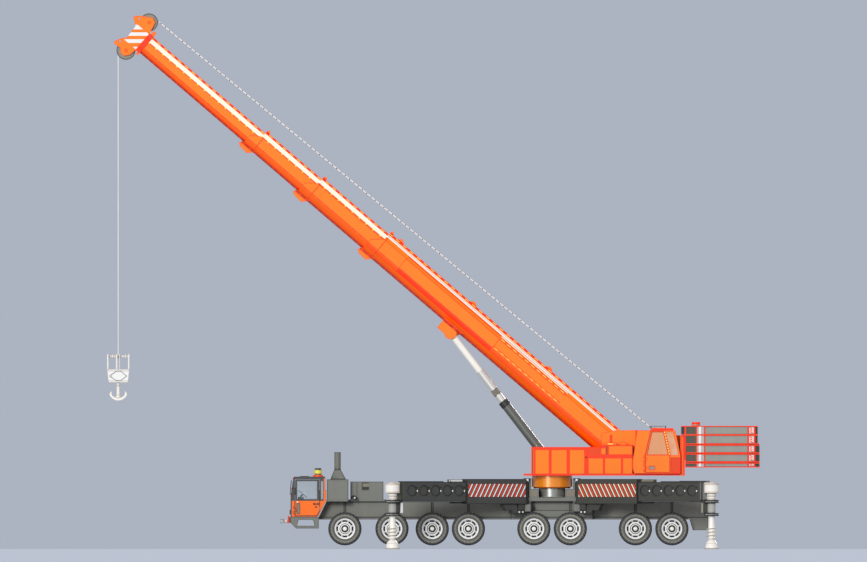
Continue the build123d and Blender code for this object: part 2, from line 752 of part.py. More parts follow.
cab2_hinge_x = cab2_door_front + door_gap / 2
cab2_hinge_z = (3650.0, 4050.0)
cab2_seat = (                  # seat, its back and the console: along, across, height above the floor
    ((-5060.0, -4560.0), (860.0, 1300.0), (0.0, 520.0)),
    ((-5120.0, -4980.0), (860.0, 1300.0), (500.0, 1250.0)),
    ((-4300.0, -4020.0), (900.0, 1260.0), (0.0, 850.0)),
)
screen_edge = 90.0             # windscreen's frame at either side
with BuildPart() as operator_cab:
    extrude(outline(side(cab2_out), cab2_points), amount=cab2_out - cab2_in)
    extrude(
        ring_of(side(cab2_out - cab2_wall), cab2_points, cab2_wall),
        amount=cab2_out - cab2_in - 2 * cab2_wall,
        mode=Mode.SUBTRACT,
    )
    extrude(ring_of(side(cab2_out), cab2_door, -door_gap), amount=cab2_wall, mode=Mode.SUBTRACT)
    extrude(outline(side(cab2_out), cab2_rear_window), amount=cab2_wall, mode=Mode.SUBTRACT)
    # windscreen opening, side recess and raised roof
    block(
        (cab2_front_top - cab2_wall, cab2_belly[0]),
        (cab2_in + screen_edge, cab2_out - screen_edge),
        cab2_screen,
        mode=Mode.SUBTRACT,
    )
    block(
        cab2_recess[0:2], (cab2_out - recess_depth, cab2_out), cab2_recess[2:4], mode=Mode.SUBTRACT
    )
    block(cab2_roof[0:2], (cab2_in + screen_edge, cab2_out - screen_edge), (cab2_top, cab2_roof[2]))
    hinge_row(cab2_hinge_x, 1, cab2_out, cab2_hinge_z, on_door=False)
    # seat and console
    cab2_floor = body_low + floor_t + cab2_wall
    for x_range, y_range, rise in cab2_seat:
        block(x_range, y_range, (cab2_floor + rise[0], cab2_floor + rise[1]))
finish(operator_cab, "operator_cab")

make_door(
    "operator_door", 1, cab2_out, cab2_wall, cab2_door, cab2_window, cab2_hinge_x, cab2_hinge_z,
    cab2_grab,
)

with BuildPart() as operator_cab_glass:
    extrude(
        ring_of(side(cab2_out - cab2_wall / 2), cab2_rear_window, seat),
        amount=glass_t / 2,
        both=True,
    )
    # windscreen, leaning back with the front wall
    lean = (cab2_front_top - cab2_front) / (cab2_top - cab2_screen[0])
    screen_low = cab2_screen[0] + seat
    screen_top = cab2_screen[1] - seat
    screen_x = [cab2_front + lean * (z - cab2_screen[0]) - cab2_wall / 2 for z in (screen_low, screen_top)]
    screen_points = (
        (screen_x[0], screen_low),
        (screen_x[0] + glass_t, screen_low),
        (screen_x[1] + glass_t, screen_top),
        (screen_x[1], screen_top),
    )
    screen_y = cab2_out - screen_edge - seat
    extrude(outline(side(screen_y), screen_points), amount=screen_y - cab2_in - screen_edge - seat)
finish(operator_cab_glass, "operator_cab_glass")

# ================================================================ driver's cab
cab_half = 1350.0
cab_wall = 60.0
cab_low = 1440.0
cab_waist = 2169.0
cab_step = 2659.0              # the rear post steps back above this
cab_brow = 2421.0              # the windscreen starts to lean above this
cab_top = 3258.0
cab_rear = deck_front + 14.0
cab_front = cab_rear + 1599.0
cab_points = (
    (cab_front, cab_low + seat),
    (cab_front, cab_brow),
    (cab_front - 126, cab_top - 50),
    (cab_front - 166, cab_top),
    (cab_rear + 43, cab_top),
    (cab_rear + 43, cab_step),
    (cab_rear, cab_step),
    (cab_rear, cab_waist),
    (cab_rear + 376, cab_low + seat),
)
cab_door_front = cab_rear + 1396.0
cab_door = (
    (cab_door_front, 1500.0),
    (cab_door_front, 3130.0),
    (cab_rear + 296, 3130.0),
    (cab_rear + 296, 1720.0),
    (cab_rear + 426, 1500.0),
)
cab_window = (
    (cab_rear + 1310, 2240.0),
    (cab_rear + 1310, 3058.0),
    (cab_rear + 404, 3058.0),
    (cab_rear + 404, 2240.0),
)
cab_slot_window = (
    (cab_rear + 237, 2240.0),
    (cab_rear + 237, 3058.0),
    (cab_rear + 136, 3058.0),
    (cab_rear + 136, 2240.0),
)
cab_grab = (cab_rear + 1187.0, cab_rear + 1316.0, 1583.0, 2057.0)    # recess in the door
cab_hinge_x = cab_door_front + door_gap / 2
cab_hinge_z = (1750.0, 2600.0)
screen_half = 1180.0
screen_low_z = 2230.0
screen_top_z = 3110.0
lamp = (850.0, 1230.0, 1560.0, 1760.0, 45.0)         # headlamp: from, to, low, top, how far it stands out
beacon_x = cab_rear + 366.0
beacon_y = 900.0
beacon_steps = (               # radius, low and top above the roof
    (226.0, 0.0, 76.0),
    (150.0, 76.0, 122.0),
    (169.0, 122.0, 306.0),
    (140.0, 306.0, 381.0),
)
cab_seat = (                   # seat and its back: from, to, low, top
    (cab_rear + 320, cab_rear + 820, cab_low + cab_wall, 2000.0),
    (cab_rear + 260, cab_rear + 400, 1900.0, 2650.0),
)
seat_y = (480.0, 980.0)
hatch = (cab_rear + 776, cab_rear + 1171, 300.0, 26.0)               # from, to, half width, height
dash = (cab_rear + 1183, cab_front - cab_wall, 1250.0, 2160.0)       # from, to, half width, top
dash_hood = (cab_rear + 1006, cab_rear + 1267, 2100.0, 2347.0)       # from, to, low, top
wheel_hub = (cab_rear + 1050, 730.0, 2472.0)
wheel_tilt = 40.0
wheel_ring = (240.0, 200.0, 30.0)                    # outer radius, inner radius, thickness
with BuildPart() as driver_cab:
    extrude(outline(side(cab_half), cab_points), amount=2 * cab_half)
    extrude(
        ring_of(side(cab_half - cab_wall), cab_points, cab_wall),
        amount=2 * (cab_half - cab_wall),
        mode=Mode.SUBTRACT,
    )
    extrude(ring_of(side(cab_half), cab_door, -door_gap), amount=cab_wall, mode=Mode.SUBTRACT)
    extrude(ring_of(side(-cab_half + cab_wall), cab_door, -door_gap), amount=cab_wall, mode=Mode.SUBTRACT)
    extrude(outline(side(cab_half), cab_slot_window), amount=2 * cab_half, mode=Mode.SUBTRACT)
    block(
        (cab_front - 166 - cab_wall, cab_front + cab_wall),
        (-screen_half, screen_half),
        (screen_low_z, screen_top_z),
        mode=Mode.SUBTRACT,
    )
    for side_name, turn in sides:
        hinge_row(cab_hinge_x, turn, cab_half, cab_hinge_z, on_door=False)
        block((cab_front, cab_front + lamp[4]), (turn * lamp[0], turn * lamp[1]), lamp[2:4])
        for beacon_r, beacon_low, beacon_top in beacon_steps:
            beacon_z = cab_top + (beacon_low + beacon_top) / 2
            with Locations((slew_x + beacon_x, turn * beacon_y, beacon_z)):
                Cylinder(beacon_r, beacon_top - beacon_low)
        for seat_rear, seat_front, seat_low, seat_top in cab_seat:
            block(
                (seat_rear, seat_front),
                (turn * seat_y[0], turn * seat_y[1]),
                (seat_low, seat_top),
            )
    block(hatch[0:2], (-hatch[2], hatch[2]), (cab_top, cab_top + hatch[3]))
    block(dash[0:2], (-dash[2], dash[2]), (cab_low + cab_wall, dash[3]))
    block(dash_hood[0:2], seat_y, dash_hood[2:4])
    # steering wheel on its column
    hub_place = Location((slew_x + wheel_hub[0], wheel_hub[1], wheel_hub[2]), (0, -wheel_tilt, 0))
    with Locations(hub_place):
        Cylinder(wheel_ring[0], wheel_ring[2])
        Cylinder(wheel_ring[1], wheel_ring[2], mode=Mode.SUBTRACT)
        Box(2 * wheel_ring[1] + 20, 40, wheel_ring[2])
        Cylinder(45, wheel_ring[2])
    with Locations(hub_place * Location((0, 0, -150))):
        Cylinder(35, 300)
finish(driver_cab, "driver_cab")

for side_name, turn in sides:
    make_door(
        f"driver_door_{side_name}", turn, cab_half, cab_wall, cab_door, cab_window,
        cab_hinge_x, cab_hinge_z, cab_grab,
    )

with BuildPart() as driver_cab_glass:
    for y in (cab_half - cab_wall / 2, -cab_half + cab_wall / 2):
        extrude(ring_of(side(y), cab_slot_window, seat), amount=glass_t / 2, both=True)
    lean = -126 / (cab_top - 50 - cab_brow)
    low_x = cab_front - cab_wall / 2
    top_x = cab_front + lean * (screen_top_z - cab_brow) - cab_wall / 2
    screen_points = (
        (low_x, screen_low_z + seat),
        (low_x + glass_t, screen_low_z + seat),
        (top_x + glass_t, screen_top_z - seat),
        (top_x, screen_top_z - seat),
    )
    extrude(outline(side(), screen_points), amount=screen_half - seat, both=True)
finish(driver_cab_glass, "driver_cab_glass")

# ================================================================ bumper, side steps and tow coupling
step_low = 923.0
tow_z = 1254.0
tow_pin_r = 30.0
jaw_x = (12060.0, 12218.0)
jaw_gap = 90.0
jaw_half = 90.0
jaw_root = 40.0
jaw_pin_inset = 55.0
tow_bar_r = 72.0
tow_blocks = (                 # along, half width, height
    ((cab_front, cab_front + 67), 180.0, (1180.0, 1440.0)),
    ((cab_front + 67, cab_front + 131), 230.0, (1163.0, 1498.0)),
)
hoop_rear = cab_rear + 330.0
step_inner = cab_half - 420.0
with BuildPart() as front_bumper:
    hoop_points = (
        (cab_front, cab_low),
        (cab_front, 1180.0),
        (cab_front - 243, step_low),
        (hoop_rear, step_low),
        (hoop_rear, cab_low),
    )
    hoop_hole = (
        (hoop_rear + 980, 1044.0),
        (hoop_rear + 194, 1044.0),
        (hoop_rear + 248, 1270.0),
        (hoop_rear + 292, 1314.0),
        (hoop_rear + 880, 1314.0),
        (hoop_rear + 927, 1270.0),
    )
    extrude(outline(side(cab_half), hoop_points), amount=2 * cab_half)
    extrude(outline(side(cab_half), hoop_hole), amount=2 * cab_half, mode=Mode.SUBTRACT)
    # only the side steps stand behind the bumper itself
    block(
        (hoop_rear - 1, hoop_rear + 946),
        (-step_inner, step_inner),
        (step_low, 1314.0),
        mode=Mode.SUBTRACT,
    )
    block(
        (hoop_rear - 1, frame_front + seat),
        (-flange_w / 2 - seat, flange_w / 2 + seat),
        (step_low, cab_low),
        mode=Mode.SUBTRACT,
    )
    for x_range, half, z_range in tow_blocks:
        block(x_range, (-half, half), z_range)
    with Locations(Location((slew_x + (tow_blocks[1][0][1] + jaw_x[0]) / 2, 0, tow_z), (0, 90, 0))):
        Cylinder(tow_bar_r, jaw_x[0] - tow_blocks[1][0][1])
    block(jaw_x, (-jaw_half, jaw_half), (tow_z - 106, tow_z + 96))
    block(
        (jaw_x[0] + jaw_root, jaw_x[1]),
        (-jaw_half, jaw_half),
        (tow_z - jaw_gap / 2, tow_z + jaw_gap / 2),
        mode=Mode.SUBTRACT,
    )
    with Locations((slew_x + jaw_x[1] - jaw_pin_inset, 0, tow_z)):
        Cylinder(tow_pin_r, 400.0, mode=Mode.SUBTRACT)
finish(front_bumper, "front_bumper")

# ================================================================ counterweight
slab_dividers = (-6503.0, -6858.0, -8821.0, -9115.0)
divider_t = 36.0
slab_post = (-6668.0, 68.0)                          # place, radius
slab_inset = (320.0, 60.0, 80.0)                     # filler between slabs: rear, front, side
hanger = (900.0, 4000.0, 5100.0)                     # half width, low, top
bollard = (-6478.0, 190.0, 170.0)                    # place, radius, height
with BuildPart() as counterweight:
    for index, (low, top) in enumerate(slab_rows):
        front = slab_top_front if index == len(slab_rows) - 1 else slab_front
        rear = slab_top_rear if index >= len(slab_rows) - 2 else slab_rear
        block((rear, front), (-slab_half, slab_half), (low, top))
        for z_range in ((low - rim_t, low), (top, top + rim_t)):
            block((rear, front), (-slab_half - rim_out, slab_half + rim_out), z_range)
        for post in ((rear, rear + rim_t), (front - rim_t, front)):
            block(post, (-slab_half - rim_out, slab_half + rim_out), (low, top))
        for x in slab_dividers:
            block(
                (x - divider_t / 2, x + divider_t / 2),
                (-slab_half - rim_out, slab_half + rim_out),
                (low, top),
            )
    for (low, top), (next_low, next_top) in zip(slab_rows, slab_rows[1:]):
        block(
            (slab_rear + slab_inset[0], slab_front - slab_inset[1]),
            (slab_inset[2] - slab_half, slab_half - slab_inset[2]),
            (top, next_low),
        )
    for y in (slab_half, -slab_half):
        with Locations((slew_x + slab_post[0], y, (slab_rows[0][0] + slab_rows[-1][1]) / 2)):
            Cylinder(slab_post[1], slab_rows[-1][1] - slab_rows[0][0])
    # hanger that meets the rear column, and the lifting bollard on top
    block((slab_front - 1, body_rear - seat), (-hanger[0], hanger[0]), hanger[1:3])
    with Locations((slew_x + bollard[0], 0, slab_rows[-1][1] + rim_t + bollard[2] / 2)):
        Cylinder(bollard[1], bollard[2])
finish(counterweight, "counterweight")

# ================================================================ boom sections
def boom_side(y=0.0):
    # upright plane along the boom, local x up the boom from its foot pin and local y above its axis
    return Plane(
        origin=(slew_x + pivot_x, y, pivot_z), x_dir=(boom_c, 0, boom_s), z_dir=(0, -1, 0)
    )


def boom_cross(along):
    # plane across the boom, local x to the left and local y above its axis
    origin = (slew_x + pivot_x + along * boom_c, 0, pivot_z + along * boom_s)
    return Plane(origin=origin, x_dir=(0, 1, 0), z_dir=(boom_c, 0, boom_s))


def boom_face(along, size, grow=0.0):
    # upright sides, both upper corners cut well back, and a half-round belly
    height, width = size
    bevel_h = 0.28 * height
    bevel_w = 0.22 * width
    belly = 0.5 * width
    with BuildSketch(boom_cross(along)) as face:
        with BuildLine():
            Polyline(
                (-width / 2, belly - height / 2),
                (-width / 2, height / 2 - bevel_h),
                (bevel_w - width / 2, height / 2),
                (width / 2 - bevel_w, height / 2),
                (width / 2, height / 2 - bevel_h),
                (width / 2, belly - height / 2),
            )
            ThreePointArc(
                (width / 2, belly - height / 2),
                (0, -height / 2),
                (-width / 2, belly - height / 2),
            )
        make_face()
        if grow:
            offset(amount=grow, kind=Kind.INTERSECTION, mode=Mode.REPLACE)
    return face.sketch


def boom_bar(s_range, y_range, n_range, mode=Mode.ADD):
    points = (
        (s_range[0], n_range[0]),
        (s_range[1], n_range[0]),
        (s_range[1], n_range[1]),
        (s_range[0], n_range[1]),
    )
    extrude(outline(boom_side(max(y_range)), points), amount=abs(y_range[1] - y_range[0]), mode=mode)


nose_len = 500.0               # the lower half of each collar runs on this far
knob_h = 115.0
knob_half = 120.0
bracket_h = 200.0


def collar(head_s, size, inner_size):
    # stepped collar at a section's head, with its top knob and bottom bracket
    height, width = size
    nose = head_s + nose_len
    extrude(boom_face(head_s - 60, size, collar_grow), amount=60 + nose_len)
    step_points = (
        (head_s + 20, height),
        (head_s + 20, 0.25 * height),
        (nose, -0.05 * height),
        (nose + 400, -0.05 * height),
        (nose + 400, height),
    )
    extrude(outline(boom_side(width), step_points), amount=2 * width, mode=Mode.SUBTRACT)
    knob_points = (
        (head_s - 170, height / 2 - 10),
        (head_s - 120, height / 2 + knob_h),
        (head_s - 20, height / 2 + knob_h),
        (head_s + 20, height / 2 + 20),
        (head_s + 20, height / 2 - 10),
    )
    extrude(outline(boom_side(), knob_points), amount=knob_half, both=True)
    bracket_points = (
        (head_s - 220, 0.13 * width - height / 2),
        (head_s + 80, -bracket_h - height / 2),
        (head_s + 480, -0.85 * bracket_h - height / 2),
        (nose + 160, -0.4 * bracket_h - height / 2),
        (nose + 60, 0.13 * width - height / 2),
    )
    extrude(outline(boom_side(), bracket_points), amount=0.32 * width, both=True)
    extrude(
        boom_face(head_s - collar_len, inner_size, pad_gap),
        amount=collar_len + nose_len + 300,
        mode=Mode.SUBTRACT,
    )


collar_grow = 22.0
sections = (
    ("boom_base", base_s, base_hw, s2_hw, None),
    ("boom_section_2", s2_s, s2_hw, s3_hw, base_hw),
    ("boom_section_3", s3_s, s3_hw, s4_hw, s2_hw),
    ("boom_section_4", s4_s, s4_hw, None, s3_hw),
)
top_lugs = (4660.0, 9150.0, 13450.0)
side_panel = (7270.0, 12800.0, -205.0, 300.0, 12.0)      # from, to, low, top, thickness
head_top_n = 700.0
head_low_n = -600.0
head_band = 210.0
sheave_clear = 12.0
jib_pins = ((28960.0, 690.0), (28960.0, -640.0))      # along the boom, above its axis
jib_pin_r = 45.0


def section_tube(s_range, size, inner_size, outer_size):
    # box section with a closed head ring and a tail ring of wear pads
    start, end = s_range
    extrude(boom_face(start, size), amount=end - start)
    extrude(boom_face(start, size, -wall), amount=end - start, mode=Mode.SUBTRACT)
    if inner_size:
        extrude(boom_face(end - collar_len, size), amount=collar_len)
    if outer_size:
        extrude(boom_face(start, outer_size, -wall - pad_gap), amount=tail_len)
        extrude(boom_face(start, size, -wall), amount=tail_len, mode=Mode.SUBTRACT)


lug_half = 350.0
ear_half = 1010.0
ear_r = 280.0
ear_t = 65.0
luff_len = hypot(luff_top_x - luff_foot_x, luff_top_z - luff_foot_z)
luff_tilt = degrees(atan2(luff_top_z - luff_foot_z, luff_top_x - luff_foot_x))
ear_s = (luff_top_x - pivot_x) * boom_c + (luff_top_z - pivot_z) * boom_s
ear_n = -(luff_top_x - pivot_x) * boom_s + (luff_top_z - pivot_z) * boom_c
ear_beam = (ear_s + 320, ear_s + 620)

with BuildPart() as boom_base:
    section_tube(base_s, base_hw, s2_hw, None)
    collar(base_s[1], base_hw, s2_hw)
    # closed tail and boom foot
    extrude(boom_face(base_s[0], base_hw), amount=wall)
    for y_range in both(base_hw[1] / 2 - 90, base_hw[1] / 2):
        with BuildSketch(boom_side(max(y_range))):
            with BuildLine():
                Polyline((base_s[0] + 60, -foot_r), (0, -foot_r))
                ThreePointArc((0, -foot_r), (-foot_r, 0), (0, foot_r))
                Polyline((0, foot_r), (base_s[0] + 60, foot_r), (base_s[0] + 60, -foot_r))
            make_face()
        extrude(amount=y_range[1] - y_range[0])
    with Locations(Location((slew_x + pivot_x, 0, pivot_z), (90, 0, 0))):
        Cylinder(foot_pin_r + 60, base_hw[1])
    for s in top_lugs:
        lug_points = (
            (s - 150, base_hw[0] / 2 - 5),
            (s - 20, base_hw[0] / 2 + knob_h),
            (s + 110, base_hw[0] / 2 + knob_h),
            (s + 200, base_hw[0] / 2 + 20),
            (s + 200, base_hw[0] / 2 - 5),
        )
        extrude(outline(boom_side(), lug_points), amount=0.27 * base_hw[1], both=True)
    for y_range in both(base_hw[1] / 2, base_hw[1] / 2 + side_panel[4]):
        boom_bar(side_panel[0:2], y_range, side_panel[2:4])
    # bracket for the luffing cylinders: middle lug, cross beam and an outer ear on either side
    lug = (
        (ear_s - 450, 160 - base_hw[0] / 2),
        (ear_s + 620, 160 - base_hw[0] / 2),
        (ear_beam[1], ear_n + 60),
        (ear_s, ear_n - 60),
        (ear_s - 250, ear_n),
    )
    extrude(outline(boom_side(), lug), amount=lug_half, both=True)
    boom_bar(ear_beam, (-ear_half, ear_half), (ear_n + 60, 10 - base_hw[0] / 2))
    for y_range in both(ear_half - ear_t, ear_half):
        boom_bar((ear_s, ear_beam[1]), y_range, (ear_n - 200, 10 - base_hw[0] / 2))
        with BuildSketch(boom_side(max(y_range))):
            with Locations((ear_s, ear_n)):
                Circle(ear_r)
        extrude(amount=ear_t)
    bore_len = base_s[1] - base_s[0] - collar_len - wall
    extrude(boom_face(base_s[0] + wall, base_hw, -wall), amount=bore_len, mode=Mode.SUBTRACT)
finish(boom_base, "boom_base")

with BuildPart() as boom_section_2:
    section_tube(s2_s, s2_hw, s3_hw, base_hw)
    collar(s2_s[1], s2_hw, s3_hw)
finish(boom_section_2, "boom_section_2")

with BuildPart() as boom_section_3:
    section_tube(s3_s, s3_hw, s4_hw, s2_hw)
    collar(s3_s[1], s3_hw, s4_hw)
finish(boom_section_3, "boom_section_3")

head_s = s4_s[1]
plate_points = (
    (head_s - 60, 465.0),
    (head_s + 180, 520.0),
    (28300.0, 1020.0),
    (28520.0, 1120.0),
    (28790.0, 960.0),
    (29035.0, 808.0),
    (29164.0, 683.0),
    (29224.0, 572.0),
    (28872.0, 330.0),
    (28840.0, -330.0),
    (29040.0, -540.0),
    (29160.0, -837.0),
    (29060.0, -900.0),
    (28760.0, -860.0),
    (28600.0, -1030.0),
    (28400.0, -1030.0),
    (28230.0, -830.0),
    (head_s + 180, -520.0),
    (head_s - 60, -465.0),
)
with BuildPart() as boom_section_4:
    section_tube(s4_s, s4_hw, None, s3_hw)
    # head: closed collar band, two cheek plates, front tie and the sheave shafts
    extrude(boom_face(head_s - 60, s4_hw, collar_grow), amount=head_band)
    boom_bar(
        (head_s - 60, sheaves[0][1] - sheaves[0][3] - sheave_clear),
        (-head_half, head_half),
        (s4_hw[0] / 2 - 20, head_top_n),
    )
    boom_bar(
        (head_s - 60, sheaves[1][1] - sheaves[1][3] - sheave_clear),
        (-head_half, head_half),
        (head_low_n, 20 - s4_hw[0] / 2),
    )
    for y_range in both(head_half, head_half + head_plate_t):
        extrude(outline(boom_side(max(y_range)), plate_points), amount=head_plate_t)
    boom_bar((28780.0, 28840.0), (-head_half, head_half), (-330.0, 330.0))
    for sheave_name, s, n, radius in sheaves:
        with BuildSketch(boom_side()):
            with Locations((s, n)):
                Circle(shaft_r)
        extrude(amount=head_half + head_plate_t + 30, both=True)
    for s, n in jib_pins:
        with BuildSketch(boom_side()):
            with Locations((s, n)):
                Circle(jib_pin_r)
        extrude(amount=head_half + head_plate_t, both=True, mode=Mode.SUBTRACT)
finish(boom_section_4, "boom_section_4")

for sheave_name, s, n, radius in sheaves:
    centre = boom_side().from_local_coords((s, n, 0))
    with BuildPart() as sheave_row:
        for y in sheave_y:
            with BuildSketch(Plane(origin=(centre.X, y, centre.Z), x_dir=(0, 1, 0), z_dir=(1, 0, 0))):
                with BuildLine():
                    Polyline(
                        (-sheave_t / 2, shaft_r + seat),
                        (-sheave_t / 2, radius),
                        (10 - sheave_t / 2, radius),
                        (-rope_r, radius - groove_depth),
                        (rope_r, radius - groove_depth),
                        (sheave_t / 2 - 10, radius),
                        (sheave_t / 2, radius),
                        (sheave_t / 2, shaft_r + seat),
                        close=True,
                    )
                make_face()
            revolve(axis=Axis((centre.X, 0, centre.Z), (0, 1, 0)))
        with Locations(Location((centre.X, 0, centre.Z), (90, 0, 0))):
            Cylinder(shaft_r + 45, 2 * (head_half - seat))
            Cylinder(shaft_r + seat, 2 * head_half, mode=Mode.SUBTRACT)
    finish(sheave_row, f"head_sheaves_{sheave_name}")

# ================================================================ luffing cylinders
def luff_place(distance, y):
    # on a cylinder's own axis, this far up from its foot pin
    run = distance / luff_len
    x = luff_foot_x + run * (luff_top_x - luff_foot_x)
    z = luff_foot_z + run * (luff_top_z - luff_foot_z)
    return Location((slew_x + x, y, z), (0, 90 - luff_tilt, 0))


barrel_floor = 400.0
rod_end = 2500.0               # rod's lower end at rest, inside the barrel
with BuildPart() as luff_barrels:
    for y in (luff_y, -luff_y):
        with Locations(luff_place((gland_top - gland_len) / 2, y)):
            Cylinder(barrel_out_r, gland_top - gland_len)
        with Locations(luff_place(gland_top - gland_len / 2, y)):
            Cylinder(gland_r, gland_len)
        with Locations(luff_place((gland_top + barrel_len) / 2, y)):
            Cylinder(guide_r, barrel_len - gland_top)
        with Locations(luff_place((guide_clamp[0] + guide_clamp[1]) / 2, y)):
            Box(guide_clamp[2], guide_clamp[2], guide_clamp[1] - guide_clamp[0])
        with Locations(luff_place((barrel_floor + barrel_len) / 2 + 1, y)):
            Cylinder(rod_r + seat, barrel_len - barrel_floor + 2, mode=Mode.SUBTRACT)
        with Locations(Location((slew_x + luff_foot_x, y, luff_foot_z), (90, 0, 0))):
            Cylinder(eye_r, eye_w)
            Cylinder(luff_pin_r + seat, 2 * barrel_out_r + 20, mode=Mode.SUBTRACT)
finish(luff_barrels, "luff_barrels")

with BuildPart() as luff_rods:
    for y in (luff_y, -luff_y):
        with Locations(luff_place((rod_end + luff_len) / 2, y)):
            Cylinder(rod_r, luff_len - rod_end)
        with Locations(Location((slew_x + luff_top_x, y, luff_top_z), (90, 0, 0))):
            Cylinder(eye_r, eye_w)
finish(luff_rods, "luff_rods")

# ================================================================ ropes, hook block and hook
block_plates = (               # upright plates of the block: from, to
    (-512.0, -431.0),
    (-80.0, -30.0),
    (30.0, 111.0),
    (431.0, 512.0),
)
block_body = (                 # body's outline: half width, below its top
    (497.0, 0.0),
    (497.0, 80.0),
    (450.0, 520.0),
    (422.0, 592.0),
)
block_discs = (                # place, radius, thickness; the middle one stands between the falls
    (-325.0, 88.0, 70.0),
    (0.0, falls_y - rope_r - seat, 2 * rope_r),
    (250.0, 88.0, 70.0),
)
block_depth = 480.0
block_shaft_z = block_top - 110.0
block_low = block_top - block_plate_h - block_body_h
with BuildPart() as rope_falls:
    for y in (falls_y, -falls_y):
        with Locations((slew_x + block_x, y, (falls_sheave_z + block_shaft_z) / 2)):
            Cylinder(rope_r, falls_sheave_z - block_shaft_z)
finish(rope_falls, "rope_falls")

with BuildPart() as hook_block:
    for plate in block_plates:
        block(
            (block_x + plate[0], block_x + plate[1]),
            (-block_depth / 2, block_depth / 2),
            (block_top - block_plate_h, block_top),
        )
    with Locations(Location((slew_x + block_x, 0, block_shaft_z), (0, 90, 0))):
        Cylinder(45.0, block_w)
    for x, disc_r, disc_t in block_discs:
        with Locations(Location((slew_x + block_x + x, 0, block_shaft_z), (0, 90, 0))):
            Cylinder(disc_r, disc_t)
    body_top = block_top - block_plate_h
    body_points = [(block_x + half, body_top - down) for half, down in block_body]
    body_points += [(block_x - half, body_top - down) for half, down in reversed(block_body)]
    extrude(outline(side(), body_points), amount=block_depth / 2 - 20, both=True)
finish(hook_block, "hook_block")

hook_half_t = 62.0
hook_collar_low = 6813.0
hook_rings = (                 # low, top, radius
    (hook_collar_low - 10, block_low - shank_len + 10, 95.0),
    (7335.0, 7380.0, 98.0),
)
hook_curve = {                 # points of the crescent: from the hook's axis, height
    "bow": (0.0, hook_low),
    "outer_mid": (240.0, 6746.0),
    "side": (hook_w / 2 - 22, 6940.0),
    "horn_mid": (368.0, 7046.0),
    "tip": (262.0, 7105.0),
    "inner_mid": (290.0, 6985.0),
    "bowl": (200.0, 6863.0),
    "collar": (hook_rings[0][2], hook_collar_low),
    "middle": (0.0, hook_collar_low),
}
with BuildPart() as hook:
    with Locations((slew_x + block_x, 0, block_low - seat - shank_len / 2)):
        Cylinder(shank_r, shank_len)
    for z_low, z_top, ring_r in hook_rings:
        with Locations((slew_x + block_x, 0, (z_low + z_top) / 2)):
            Cylinder(ring_r, z_top - z_low)
    # crescent with a horn on either side that leans back towards the shank
    with BuildSketch(side(hook_half_t)):
        for x in (1, -1):
            curve = {name: (block_x + x * away, z) for name, (away, z) in hook_curve.items()}
            with BuildLine():
                ThreePointArc(curve["bow"], curve["outer_mid"], curve["side"])
                ThreePointArc(curve["side"], curve["horn_mid"], curve["tip"])
                ThreePointArc(curve["tip"], curve["inner_mid"], curve["bowl"])
                Polyline(curve["bowl"], curve["collar"], curve["middle"], curve["bow"])
            make_face()
    extrude(amount=2 * hook_half_t)
finish(hook, "hook")
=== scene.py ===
# Mobile crane on its outriggers, dressed around its imported frame.
# Metres: +X is forward, +Y is left, +Z is up. Every piece but the ropes rides on a body of the frame.
import json
import math

import bmesh
import bpy
from mathutils import Matrix, Vector


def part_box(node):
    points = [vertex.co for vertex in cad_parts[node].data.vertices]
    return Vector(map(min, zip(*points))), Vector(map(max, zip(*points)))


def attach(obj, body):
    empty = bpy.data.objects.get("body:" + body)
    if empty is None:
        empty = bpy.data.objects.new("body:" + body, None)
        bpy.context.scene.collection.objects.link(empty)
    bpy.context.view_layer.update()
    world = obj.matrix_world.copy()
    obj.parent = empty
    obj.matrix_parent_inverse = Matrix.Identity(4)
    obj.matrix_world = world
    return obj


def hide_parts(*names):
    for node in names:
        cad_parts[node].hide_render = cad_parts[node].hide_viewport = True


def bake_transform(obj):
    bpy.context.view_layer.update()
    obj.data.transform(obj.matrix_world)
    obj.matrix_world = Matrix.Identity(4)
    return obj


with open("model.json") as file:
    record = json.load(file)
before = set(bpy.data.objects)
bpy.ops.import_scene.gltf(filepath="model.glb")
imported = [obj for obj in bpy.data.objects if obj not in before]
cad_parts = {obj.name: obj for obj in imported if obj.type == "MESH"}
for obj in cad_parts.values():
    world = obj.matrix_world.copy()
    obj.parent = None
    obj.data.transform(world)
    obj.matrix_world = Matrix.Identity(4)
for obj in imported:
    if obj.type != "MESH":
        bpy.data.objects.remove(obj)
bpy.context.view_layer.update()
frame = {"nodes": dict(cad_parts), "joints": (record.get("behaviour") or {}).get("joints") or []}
cadNodes = frame["nodes"]
joints = {j["name"]: j for j in frame["joints"]}
print("frame loaded:", len(cadNodes), "nodes")


# ---- places worked out from the frame
def middleOf(node):
    low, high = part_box(node)
    return (low + high) / 2


slewX = middleOf("slewing_ring").x
boomFoot = Vector(joints["luff"]["pos_m"])
boomAlong = Vector(joints["telescope_2"]["axis"]).normalized()
boomUp = Vector((-boomAlong.z, 0.0, boomAlong.x))
boomPlan = {                    # height and width of each section, metres
    "boom_base": dict(height=1.44, width=1.00),
    "boom_section_2": dict(height=1.27, width=0.85),
    "boom_section_3": dict(height=1.11, width=0.71),
    "boom_section_4": dict(height=0.93, width=0.56),
}
armCorners = [(end, side) for end in ("front", "rear") for side in ("left", "right")]


# ---- colours, written as screen values and turned into linear ones
def tint(red, green, blue):
    def linear(value):
        value /= 255
        return value / 12.92 if value <= 0.04045 else ((value + 0.055) / 1.055) ** 2.4
    return (linear(red), linear(green), linear(blue), 1.0)


